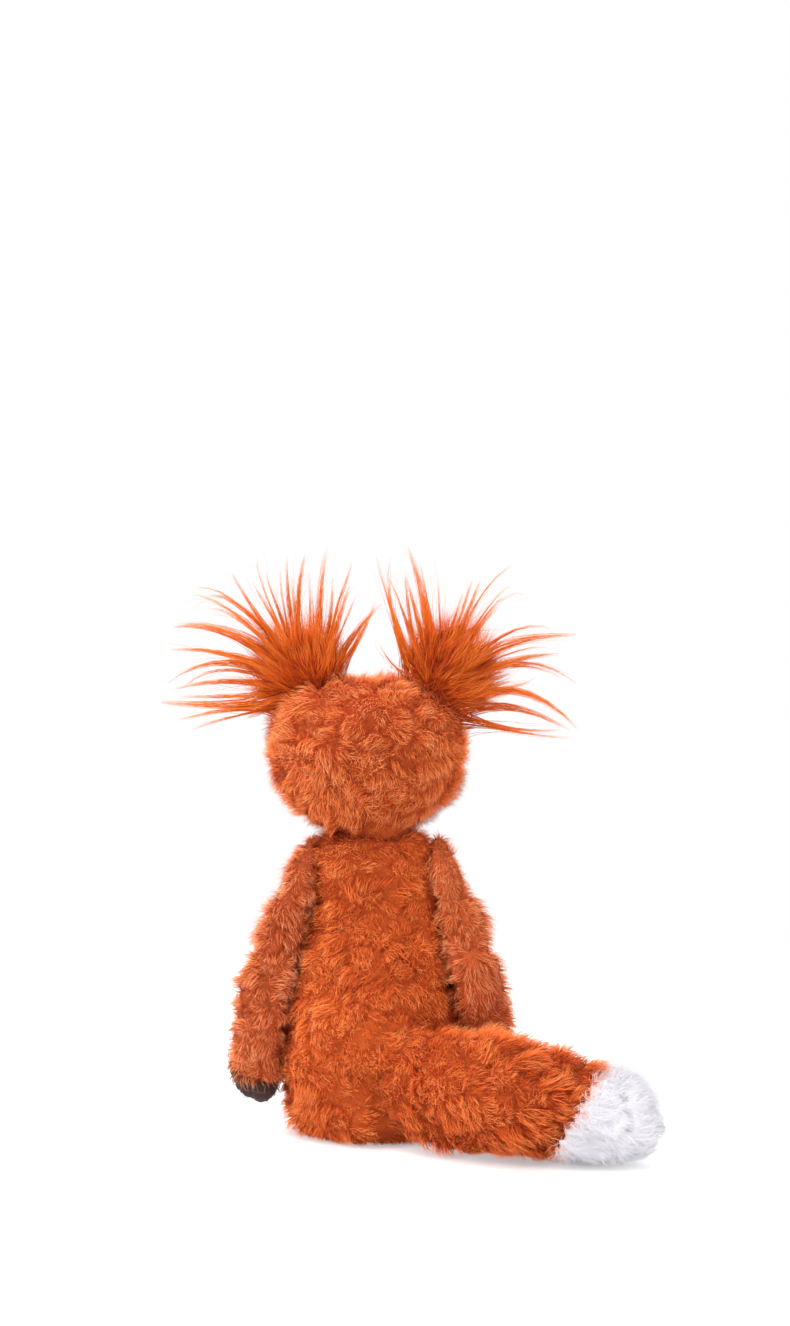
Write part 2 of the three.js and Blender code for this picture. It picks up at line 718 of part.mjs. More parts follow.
function makeHead() {
  const shell = headSolid(0, fineHead).subtract(headSolid(skinThickness, fineHead));
  let skin = shell.subtract(faceBlock(-seamGap));
  let filling = headSolid(skinThickness + fillingGap, halved(fineHead));
  for (const side of [1, -1]) {
    skin = skin.subtract(eyeCut(side));
    filling = filling.subtract(eyeCut(side)).subtract(washerSolid(side, seamGap));
  }
  return [
    meshOf('head_skin', skin, orangePlush),
    meshOf('muzzle_panel', shell.intersect(faceBlock(0)), whitePlush),
    meshOf('nose', noseSolid(0), noseVelvet),
    meshOf('head_filling', filling, stuffing),
    makeEye(1, 'left'),
    makeEye(-1, 'right'),
    meshOf('left_eye_washer', washerSolid(1, 0), washerPlastic),
    meshOf('right_eye_washer', washerSolid(-1, 0), washerPlastic),
  ];
}

// One tapering, bending lock of ear hair
function tuftSolid(frame, [fanShare, lengthShare, rootShare, acrossShare, leanShare]) {
  const fan = (Math.PI / 2) * fanShare;
  const back = new THREE.Vector3(0, 1, 0);
  const heading = frame.up.clone().multiplyScalar(Math.cos(fan));
  heading.addScaledVector(frame.across, Math.sin(fan)).addScaledVector(back, leanShare).normalize();
  const root = frame.hinge.clone().addScaledVector(frame.up, earLength * rootShare);
  root.addScaledVector(frame.across, earHalfWidth * acrossShare);
  const end = frame.hinge.clone().addScaledVector(heading, tuftLength * lengthShare);
  const bend = frame.across.clone().multiplyScalar(Math.sign(fanShare) * tuftDroop);
  const knee = root.clone().lerp(end, 0.5).sub(bend.multiplyScalar(0.5));
  const curve = new THREE.QuadraticBezierCurve3(root, knee, end);
  const [sides, steps] = fineTuft;
  const rings = [];
  for (let step = 0; step < steps; step += 1) {
    const share = step / steps;
    const tangent = curve.getTangent(share);
    const sideways = new THREE.Vector3().crossVectors(tangent, back).normalize();
    const other = new THREE.Vector3().crossVectors(tangent, sideways).normalize();
    const middle = curve.getPoint(share);
    const radius = tuftRadius * (1 - share) ** 0.7;
    rings.push(
      Array.from({ length: sides }, (_, index) => {
        const angle = (2 * Math.PI * index) / sides;
        const point = middle.clone().addScaledVector(sideways, radius * Math.cos(angle));
        return point.addScaledVector(other, radius * Math.sin(angle));
      }),
    );
  }
  return solidOf(ringsToGeometry(curve.getPoint(0), rings, curve.getPoint(1)));
}

function makeEar(side, name) {
  const frame = earFrame(side);
  const earForm = {
    table: earShares,
    length: earLength,
    halfWidth: earHalfWidth,
    halfDepth: earHalfThickness,
    startRoundShare: 0,
    endRoundShare: earTipRoundShare,
    place: (along, across, deep) => {
      const point = frame.hinge.clone().addScaledVector(frame.up, along);
      return point.addScaledVector(frame.across, across).add(new THREE.Vector3(0, deep, 0));
    },
  };
  let ear = stuffedSolid(earForm, 0, fineEar);
  for (const tuft of tuftShares) ear = ear.add(tuftSolid(frame, tuft));
  const blocker = stuffedSolid(headForm, -seamGap, fineHead);
  ear = clearOfSwing(ear, blocker, frame.hinge, frame.across, -earFoldAngle, earFoldAngle);
  return meshOf(`${name}_ear`, ear.add(earRoot(side, 0)), earPlush);
}

// Arm shrunk by inset, flat where it lies against the shoulder seam
function armSolid(side, inset, fineness) {
  const down = armDown(side);
  const out = armOut(side);
  const top = shoulderPoint(side).addScaledVector(down, -armCrown);
  const armForm = {
    table: armShares,
    length: armLength,
    halfWidth: armHalfWidth,
    halfDepth: armHalfThickness,
    startRoundShare: shoulderRoundShare,
    endRoundShare: pawRoundShare,
    place: (along, across, deep) => {
      const point = top.clone().addScaledVector(down, along).addScaledVector(out, deep);
      return point.add(new THREE.Vector3(0, across, 0));
    },
  };
  const block = shoulderBlock(side, seamGap / 2 + inset, -1);
  return stuffedSolid(armForm, inset, fineness).subtract(block);
}

// Block that holds the end of an arm, below a line that climbs to the front
function pawBlock(side, clearance) {
  const reach = armLength;
  const down = armDown(side).applyAxisAngle(new THREE.Vector3(1, 0, 0), radians(-pawSlant));
  const seam = shoulderPoint(side).addScaledVector(armDown(side), armLength - armCrown - pawLength);
  const low = new THREE.Vector3(-reach, -reach, -clearance);
  const high = new THREE.Vector3(reach, reach, reach);
  return boxSolid(low, high).transform(aimedAt(seam, down).elements);
}

function makeArm(side, name) {
  const shell = armSolid(side, 0, fineLimb).subtract(armSolid(side, skinThickness, fineLimb));
  return [
    meshOf(`${name}_arm_skin`, shell.subtract(pawBlock(side, seamGap)), orangePlush),
    meshOf(`${name}_paw_cap`, shell.intersect(pawBlock(side, 0)), brownPlush),
    meshOf(`${name}_arm_filling`, armSolid(side, skinThickness + fillingGap, halved(fineLimb)), stuffing),
  ];
}

// Leg shrunk by inset: a round hip, a straight leg and a foot that is turned up
function legSolid(side, inset, fineness, footFineness) {
  const hip = new THREE.Vector3(side * legHalfSpan, -hipForward, hipHeight);
  const radius = legHalfThickness - inset;
  const rounding = hipRounding - inset / 2;
  const flat = radius - rounding;
  const profile = [[0, -radius]];
  for (let step = 0; step <= 2 * hipSteps + 1; step += 1) {
    const level = step <= hipSteps ? -flat : flat;
    const turn = step <= hipSteps ? step / hipSteps - 1 : (step - hipSteps - 1) / hipSteps;
    const angle = (Math.PI / 2) * turn;
    profile.push([flat + rounding * Math.cos(angle), level + rounding * Math.sin(angle)]);
  }
  profile.push([0, radius]);
  const barrel = turnedSolid(profile, fineness[0], aimedAt(hip, new THREE.Vector3(1, 0, 0)));
  const shank = stuffedSolid(
    {
      table: legShares,
      length: legReach - footHalfDepth,
      halfWidth: legHalfThickness,
      halfDepth: legHalfThickness,
      startRoundShare: 0,
      endRoundShare: soleRoundShare,
      place: (along, across, deep) => new THREE.Vector3(hip.x + across, hip.y - along, hip.z + deep),
    },
    inset,
    fineness,
  );
  const foot = stuffedSolid(
    {
      table: footShares,
      length: footHeight,
      halfWidth: footHalfWidth,
      halfDepth: footHalfDepth,
      startRoundShare: footRoundShare,
      endRoundShare: footRoundShare,
      place: (along, across, deep) =>
        new THREE.Vector3(hip.x + across, hip.y - legReach + footHalfDepth + deep, floorGap + along),
    },
    inset,
    footFineness,
  );
  return barrel.add(shank).add(foot);
}

// Block in front of the foot that holds the dark sole, moved back by clearance
function soleBlock(clearance) {
  const reach = legReach + torsoHalfWidth;
  const seam = -hipForward - legReach + soleThickness + clearance;
  const low = new THREE.Vector3(-reach, seam - reach, -reach);
  return boxSolid(low, new THREE.Vector3(reach, seam, reach));
}

function makeLeg(side, name) {
  const outer = legSolid(side, 0, fineLeg, fineFoot);
  const shell = outer.subtract(legSolid(side, skinThickness, fineLeg, fineFoot));
  const filling = legSolid(side, skinThickness + fillingGap, halved(fineLeg), halved(fineFoot));
  return [
    meshOf(`${name}_leg_skin`, shell.subtract(soleBlock(seamGap)), orangePlush),
    meshOf(`${name}_sole`, shell.intersect(soleBlock(0)), brownPlush),
    meshOf(`${name}_leg_filling`, filling, stuffing),
  ];
}

// Round-ended space that the orange part of the tail fills, grown by clearance
function tailCover(clearance) {
  const radius = Math.max(tailHalfWidth, tailHalfHeight) + cutOverrun / 2;
  const end = tailLength - tailTipLength + clearance;
  const profile = [[0, -cutOverrun], [radius, -cutOverrun]];
  for (let step = 0; step < shankSides; step += 1) {
    const angle = (Math.PI / 2) * (step / shankSides);
    profile.push([radius * Math.cos(angle), end - radius + radius * Math.sin(angle)]);
  }
  profile.push([0, end]);
  const start = new THREE.Vector3(0, tailHinge.y, tailMiddle);
  return turnedSolid(profile, shankSides * 2, aimedAt(start, new THREE.Vector3(0, 1, 0)));
}

// Block over the flattened root of the tail, which holds no filling, grown by clearance
function tailPlug(clearance) {
  const low = new THREE.Vector3(-tailHalfWidth, 0, 0);
  const high = new THREE.Vector3(tailHalfWidth, tailHinge.y + tailPlugLength + clearance, tailHalfHeight * 3);
  return boxSolid(low, high);
}

function makeTail() {
  const upright = new THREE.Vector3(0, 0, 1);
  const blocker = stuffedSolid(torsoForm, -seamGap, fineTorso);
  const trimmed = (inset, fineness) => {
    const form = stuffedSolid(tailForm, inset, fineness);
    return clearOfSwing(form, blocker, tailHinge, upright, -tailRestAngle, tailRestAngle);
  };
  const outer = trimmed(0, fineTail).add(tailRoot(0));
  const inside = (inset, fineness) =>
    stuffedSolid(tailForm, inset, fineness).subtract(tailPlug(inset - skinThickness));
  const shell = outer.subtract(inside(skinThickness, fineTail));
  const filling = inside(skinThickness + fillingGap, halved(fineTail));
  const atRest = turnAbout(tailHinge, upright, tailRestAngle).elements;
  const pieces = {
    tail_skin: [shell.intersect(tailCover(0)), orangePlush],
    tail_tip: [shell.subtract(tailCover(seamGap)), whitePlush],
    tail_filling: [filling, stuffing],
  };
  return Object.entries(pieces).map(([name, [solid, material]]) =>
    meshOf(name, solid.transform(atRest), material),
  );
}

const fox = new THREE.Group();
fox.add(...makeTorso(), ...makeNeck(), ...makeHead());
fox.add(makeEar(1, 'left'), makeEar(-1, 'right'));
fox.add(...makeArm(1, 'left'), ...makeArm(-1, 'right'));
fox.add(...makeLeg(1, 'left'), ...makeLeg(-1, 'right'));
fox.add(...makeTail());

export default fox;
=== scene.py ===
import math

import bpy
import numpy as np
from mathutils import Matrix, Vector
from mathutils.bvhtree import BVHTree


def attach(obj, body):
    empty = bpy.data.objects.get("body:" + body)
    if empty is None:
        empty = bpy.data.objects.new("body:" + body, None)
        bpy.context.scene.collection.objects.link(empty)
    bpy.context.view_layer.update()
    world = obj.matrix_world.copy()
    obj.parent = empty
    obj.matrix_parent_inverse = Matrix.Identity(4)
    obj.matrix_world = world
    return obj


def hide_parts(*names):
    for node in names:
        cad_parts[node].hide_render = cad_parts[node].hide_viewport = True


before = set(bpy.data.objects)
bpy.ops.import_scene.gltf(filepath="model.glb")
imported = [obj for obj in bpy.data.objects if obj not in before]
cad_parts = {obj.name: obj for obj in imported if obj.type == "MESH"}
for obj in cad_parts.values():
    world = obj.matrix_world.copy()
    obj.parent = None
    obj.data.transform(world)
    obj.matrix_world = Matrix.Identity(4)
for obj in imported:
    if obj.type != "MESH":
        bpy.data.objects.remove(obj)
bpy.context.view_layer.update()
scene = bpy.context.scene
mm = 0.001
bakeMap = "OFBake"  # the UV map with the colour places of each piece made here


# Tables of the stuffed forms, close to those in the part's source. The columns are the place along, the
# half width, the half depth, the sideways shift in half widths and the shift in half depths.
torsoTable = np.array([
    [0.0, 0.84, 0.8, 0, 0.02],
    [0.05, 0.94, 0.93, 0, 0.02],
    [0.13, 0.99, 0.99, 0, 0.02],
    [0.26, 1.0, 1.0, 0, 0.02],
    [0.4, 0.95, 0.97, 0, 0],
    [0.55, 0.83, 0.89, 0, -0.05],
    [0.7, 0.75, 0.76, 0, -0.09],
    [0.85, 0.71, 0.62, 0, -0.05],
    [0.95, 0.7, 0.55, 0, 0],
    [1.0, 0.68, 0.52, 0, 0],
])
headTable = np.array([
    [0.0, 0.9, 0.9, 0, 0.04],
    [0.12, 0.97, 0.97, 0, 0.04],
    [0.24, 1.0, 1.0, 0, 0],
    [0.37, 0.99, 0.97, 0, -0.06],
    [0.5, 0.9, 0.89, 0, -0.21],
    [0.63, 0.7, 0.73, 0, -0.47],
    [0.76, 0.48, 0.52, 0, -0.8],
    [0.88, 0.37, 0.41, 0, -1.0],
    [1.0, 0.3, 0.35, 0, -1.12],
])
armTable = np.array([
    [0.0, 0.76, 0.38, 0, 0.06],
    [0.1, 0.86, 0.53, 0, 0.22],
    [0.22, 0.88, 0.66, 0.12, 0.47],
    [0.33, 0.9, 0.8, 0.28, 0.64],
    [0.45, 0.95, 0.91, 0.36, 0.75],
    [0.65, 1.0, 1.0, 0.36, 0.84],
    [0.8, 1.0, 1.0, 0.26, 0.76],
    [0.92, 0.94, 0.93, 0.1, 0.56],
    [1.0, 0.84, 0.8, 0.0, 0.44],
])
legTable = np.array([
    [0.0, 0.97, 0.97, 0, 0],
    [0.5, 0.97, 0.97, 0, 0],
    [0.8, 1.02, 1.04, 0, 0.05],
    [1.0, 1.1, 1.18, 0, 0.18],
])
footTable = np.array([
    [0.0, 0.86, 0.84, 0, 0.06],
    [0.3, 0.98, 1.0, 0, 0.03],
    [0.6, 1.0, 0.96, 0, -0.03],
    [0.85, 0.96, 0.84, 0, -0.1],
    [1.0, 0.9, 0.72, 0, -0.14],
])
tailTable = np.array([
    [0.0, 0.08, 0.72, 0, 0.1],
    [0.1, 0.2, 0.87, 0, 0.09],
    [0.2, 0.47, 0.96, 0, 0.04],
    [0.33, 0.8, 1.02, 0, 0.02],
    [0.5, 0.99, 1.0, 0, 0.0],
    [0.62, 1.0, 0.9, 0, -0.1],
    [0.7, 0.94, 0.9, 0, -0.14],
    [0.78, 0.86, 0.84, 0, -0.2],
    [0.9, 0.74, 0.78, 0, -0.24],
    [1.0, 0.68, 0.7, 0, -0.26],
])
earTable = np.array([
    [0.0, 0.78, 0.6, 0, 0],
    [0.15, 0.9, 0.75, 0, 0],
    [0.4, 1.0, 1.0, 0, 0],
    [0.7, 0.74, 0.8, 0, 0],
    [0.9, 0.4, 0.5, 0, 0],
    [1.0, 0.24, 0.35, 0, 0],
])
# Place up the belly panel and its half width, then place along the muzzle and the drop of the white's edge
bellyTable = np.array([
    [0.0, 0.42], [0.06, 0.66], [0.18, 0.9], [0.36, 1.0],
    [0.55, 0.88], [0.75, 0.55], [0.9, 0.24], [1.0, 0.06],
])
cheekTable = np.array([
    [-0.2, 0.0], [0.1, -0.02], [0.4, 0.08], [0.7, 0.3], [0.9, 0.5], [1.0, 0.56],
])


# A column of a table at any places, on a smooth curve through its rows
def columnAt(table, place, column):
    x, y = table[:, 0], table[:, column]
    slope = np.empty_like(y)
    slope[1:-1] = (y[2:] - y[:-2]) / (x[2:] - x[:-2])
    slope[0] = (y[1] - y[0]) / (x[1] - x[0])
    slope[-1] = (y[-1] - y[-2]) / (x[-1] - x[-2])
    place = np.asarray(place, float)
    row = np.clip(np.searchsorted(x, place) - 1, 0, len(x) - 2)
    span = x[row + 1] - x[row]
    t = np.clip((place - x[row]) / span, 0, 1)
    flat = (1 + 2 * t) * (1 - t) ** 2 * y[row] + (3 - 2 * t) * t ** 2 * y[row + 1]
    pull = t * (1 - t) ** 2 * span * slope[row] + t ** 2 * (t - 1) * span * slope[row + 1]
    return flat + pull


# How far a form is drawn in near an end that is rounded over this share of its length
def roundEnd(fromEnd, share):
    if share == 0:
        return np.ones_like(fromEnd)
    near = np.minimum(fromEnd / share, 1)
    return np.sqrt(near * (2 - near))


thinnest = 0.3  # half width in mm that an inset always leaves


# Points and faces of a stuffed form, shrunk all round by inset, with a pole at each end
def loft(form, inset, sides, rings):
    table, place = form["table"], form["place"]
    startRound, endRound = form["rounds"]
    first = 1 if startRound else 0
    last = rings - 1 if endRound else rings
    share = (1 - np.cos(np.pi * np.arange(first, last + 1) / rings)) / 2
    drawnIn = roundEnd(share, startRound) * roundEnd(1 - share, endRound)
    halfWidth, halfDepth = form["halfWidth"], form["halfDepth"]
    angle = 2 * np.pi * np.arange(sides) / sides
    wide = np.maximum(halfWidth * columnAt(table, share, 1) - inset, thinnest) * drawnIn
    deep = np.maximum(halfDepth * columnAt(table, share, 2) - inset, thinnest) * drawnIn
    power = 2 / form.get("squareness", 2.0)
    roundX = np.sign(np.cos(angle)) * np.abs(np.cos(angle)) ** power
    roundY = np.sign(np.sin(angle)) * np.abs(np.sin(angle)) ** power
    across = halfWidth * columnAt(table, share, 3)[:, None] + wide[:, None] * roundX
    depth = halfDepth * columnAt(table, share, 4)[:, None] + deep[:, None] * roundY
    along = inset + (form["length"] - 2 * inset) * share[:, None] + 0 * angle
    points = place(along.ravel(), across.ravel(), depth.ravel())
    ends = [
        place(*[np.array([v]) for v in (
            inset + (form["length"] - 2 * inset) * s,
            halfWidth * columnAt(table, s, 3),
            halfDepth * columnAt(table, s, 4),
        )])
        for s in (0.0, 1.0)
    ]
    points = np.concatenate([ends[0], points, ends[1]]) * mm
    count = len(share)
    at = lambda ring, side: 1 + ring * sides + side % sides
    faces = []
    for side in range(sides):
        faces.append((0, at(0, side + 1), at(0, side)))
        faces.append((len(points) - 1, at(count - 1, side), at(count - 1, side + 1)))
        for ring in range(count - 1):
            over = ring + 1
            faces.append((at(ring, side), at(ring, side + 1), at(over, side + 1), at(over, side)))
    return outwards(points, faces)


# Faces turned so that they point out of the closed form
def outwards(points, faces):
    volume = 0.0
    for face in faces:
        a = points[face[0]]
        for i in range(1, len(face) - 1):
            volume += np.dot(a, np.cross(points[face[i]], points[face[i + 1]]))
    if volume < 0:
        faces = [tuple(reversed(face)) for face in faces]
    return points, faces


# A new object in the scene, from points in metres
def meshObject(name, points, faces, edges=()):
    mesh = bpy.data.meshes.new(name)
    mesh.from_pydata([tuple(p) for p in points], edges, faces)
    mesh.validate()
    piece = bpy.data.objects.new(name, mesh)
    scene.collection.objects.link(piece)
    return piece


# Points, their normals and the faces of an object's mesh
def meshArrays(piece):
    mesh = piece.data
    points = np.empty(len(mesh.vertices) * 3)
    mesh.vertices.foreach_get("co", points)
    normals = np.empty(len(mesh.vertices) * 3, np.float32)
    mesh.vertex_normals.foreach_get("vector", normals)
    faces = [tuple(polygon.vertices) for polygon in mesh.polygons]
    return points.reshape(-1, 3), normals.reshape(-1, 3).astype(float), faces


# The object's mesh as its modifiers leave it, with no modifier left on it
def settle(piece):
    shown = piece.evaluated_get(bpy.context.evaluated_depsgraph_get())
    settled = bpy.data.meshes.new_from_object(shown)
    old = piece.data
    piece.modifiers.clear()
    piece.data = settled
    settled.name = piece.name
    bpy.data.meshes.remove(old)
    return piece


# Several closed forms joined into one even skin
def fused(name, parts, voxel, smoothing):
    points = np.concatenate([p for p, _ in parts])
    faces, start = [], 0
    for p, f in parts:
        faces += [tuple(i + start for i in face) for face in f]
        start += len(p)
    piece = meshObject(name, points, faces)
    remesh = piece.modifiers.new("even", "REMESH")
    remesh.mode = "VOXEL"
    remesh.voxel_size = voxel * mm
    smooth = piece.modifiers.new("soft", "SMOOTH")
    smooth.factor = 0.5
    smooth.iterations = smoothing
    return settle(piece)


# Smooth random numbers from -1 to 1 at points, a sum of slanted waves
def ripple(points, size, seed):
    random = np.random.default_rng(seed)
    total = np.zeros(len(points))
    for _ in range(9):
        direction = random.normal(size=3)
        direction *= random.uniform(0.6, 1.5) / np.linalg.norm(direction) / (size * mm)
        total += np.sin(points @ direction * 2 * np.pi + random.uniform(0, 2 * np.pi))
    return total / 4.5


def searchTree(points, faces):
    return BVHTree.FromPolygons([Vector(p) for p in points], faces)


# How far a neighbour is looked for and how far it presses, in pile lengths. The painted shade in the
# cleft beside it has a reach in mm, more for a deep shade, and fades from full - 1 to full times that reach.
cleftSizes = {"search": 3, "press": 1.6, "full": 1.5, "reach": 3, "shadeReach": 6}


# Room for the pile to stand: 1, or less where a neighbour presses on it, down to the least share that
# goes with that neighbour. Then each point's painted shade in the cleft between the two, up to its shade.
def roomFor(points, neighbours, pileLength):
    sizes = cleftSizes
    room, cleft = np.ones(len(points)), np.zeros(len(points))
    for tree, least, shade in neighbours:
        reach = (sizes["reach"] + sizes["shadeReach"] * shade) * mm
        for i, point in enumerate(points):
            spot, normal, _, gap = tree.find_nearest(Vector(point), sizes["search"] * pileLength * mm)
            if spot is None:
                continue
            outside = (Vector(point) - spot).dot(normal) > 0
            gap = gap if outside else 0.0
            room[i] = min(room[i], max(gap / (sizes["press"] * pileLength * mm), least))
            cleft[i] = max(cleft[i], shade * min(max(sizes["full"] - gap / reach, 0), 1))
    return room, cleft


# Adds a node to a tree, with its inputs by number or by name, each a link or a value
def putter(tree):
    def put(kind, inputs=None, **settings):
        node = tree.nodes.new(kind)
        for key, value in settings.items():
            setattr(node, key, value)
        for key, value in (inputs or {}).items():
            shown = [s for s in node.inputs if s.enabled]
            socket = shown[key] if isinstance(key, int) else next(s for s in shown if s.name == key)
            if isinstance(value, bpy.types.NodeSocket):
                tree.links.new(value, socket)
            elif value is not None:
                socket.default_value = value
        return node
    return put


# An output of a node, by number or by name
def outOf(node, name=0):
    shown = [s for s in node.outputs if s.enabled]
    return shown[name] if isinstance(name, int) else next(s for s in shown if s.name == name)


# Sums on numbers: any operation, and the three that are used most
def numberKit(put):
    def number(operation, *values, clamp=False):
        return outOf(put("ShaderNodeMath", dict(enumerate(values)), operation=operation, use_clamp=clamp))

    def plus(first, second):
        return number("ADD", first, second)

    def minus(first, second):
        return number("SUBTRACT", first, second)

    def times(first, second):
        return number("MULTIPLY", first, second)
    return number, plus, minus, times


# Sums on vectors: any operation, a scale, a sum and the dot product
def vectorKit(put):
    def vector(operation, *values):
        return outOf(put("ShaderNodeVectorMath", dict(enumerate(values)), operation=operation))

    def scaled(value, by):
        return outOf(put("ShaderNodeVectorMath", {"Vector": value, "Scale": by}, operation="SCALE"))

    def added(first, second):
        return vector("ADD", first, second)

    def dot(first, second):
        return vector("DOT_PRODUCT", first, second)
    return vector, scaled, added, dot


# Joins numbers to a vector, takes one of them out again, and moves a colour to lie round 0
def partKit(put):
    def joined(x, y, z=None):
        return outOf(put("ShaderNodeCombineXYZ", {0: x, 1: y, 2: z}))

    def part(value, axis):
        return outOf(put("ShaderNodeSeparateXYZ", {0: value}), axis)

    def centred(value):
        return outOf(put("ShaderNodeVectorMath", {0: value, 1: (0.5, 0.5, 0.5)}, operation="SUBTRACT"))
    return joined, part, centred


def attributeKit(put):
    def named(name, kind="FLOAT"):
        return outOf(put("GeometryNodeInputNamedAttribute", {"Name": name}, data_type=kind))

    def keep(geometry, name, kind, value, domain):
        inputs = {"Geometry": geometry, "Name": name, "Value": value}
        return outOf(put("GeometryNodeStoreNamedAttribute", inputs, data_type=kind, domain=domain))
    return named, keep


# Named inputs of a Geometry Nodes tree, from rows of name, kind and value, and its output
def treeInputs(tree, rows):
    kinds = {"geometry": "NodeSocketGeometry", "length": "NodeSocketFloat", "share": "NodeSocketFloat",
             "count": "NodeSocketInt", "material": "NodeSocketMaterial"}
    for name, kind, value in rows:
        socket = tree.interface.new_socket(name, in_out="INPUT", socket_type=kinds[kind])
        if value is not None:
            socket.default_value = value
    tree.interface.new_socket("Result", in_out="OUTPUT", socket_type="NodeSocketGeometry")


# Ends a tree: drops the attributes that only it needed, realizes all and gives the material
def endTree(tree, put, made, spent, finish):
    for name in spent:
        made = outOf(put("GeometryNodeRemoveAttribute", {"Geometry": made, "Name": name}))
    made = outOf(put("GeometryNodeRealizeInstances", {"Geometry": made}))
    made = outOf(put("GeometryNodeSetMaterial", {"Geometry": made, "Material": finish}))
    tree.links.new(made, tree.nodes.new("NodeGroupOutput").inputs[0])


# Runs a tree on a piece with these values, and leaves the result as its plain mesh
def applyTree(piece, tree, values):
    modifier = piece.modifiers.new("repeat", "NODES")
    modifier.node_group = tree
    for item in tree.interface.items_tree:
        if item.in_out == "INPUT" and item.name in values:
            modifier[item.identifier] = values[item.name]
    piece.data.update()
    return settle(piece)


# Shares that every pile has in common, of its clump size, its length, its tones and its painted shade
tuftShares = {
    "cell": (0.8, 0.8, 1.2), "cellBack": (1.25, 1.25, 0.83),  # clumps are wider than they are high
    "bendSize": 1.6, "bend": 1.5,  # their edges bend, so that no two look alike
    "patchSize": 2.2, "patchFrom": 0.3, "patchGain": 3.2,  # patches where the rims go deeper
    "rimWidth": 0.25, "rimDepth": 0.25, "patchDepth": 0.95,
    "smallCell": 0.42, "bigPull": 0.9, "smallPull": 0.35,
    "swirl": 3.0, "clumpSwirl": 2.4,
    "startGain": 4.0, "startRim": (0.6, 1.7), "startShort": 0.8, "shortest": 0.15,
    "lengths": (0.72, 1.15), "clumpLengths": (0.82, 0.36), "leans": (0.75, 1.25),
    "smallTone": 0.24, "bigTone": 0.36, "ownTone": 0.4, "toneGain": 3.0, "toneLift": 0.06,
    "rimTone": 0.85, "startTone": 0.9, "cleftTone": 0.2,
    "cleftShade": 0.75, "rimShade": 0.7, "darkest": 0.85,
    "tipLift": 0.0003,  # metres that a strand's tip stays over its root where it lies on the floor
    "mapEdge": 0.03, "mapFoot": 0.02, "mapWidth": 0.006,
}


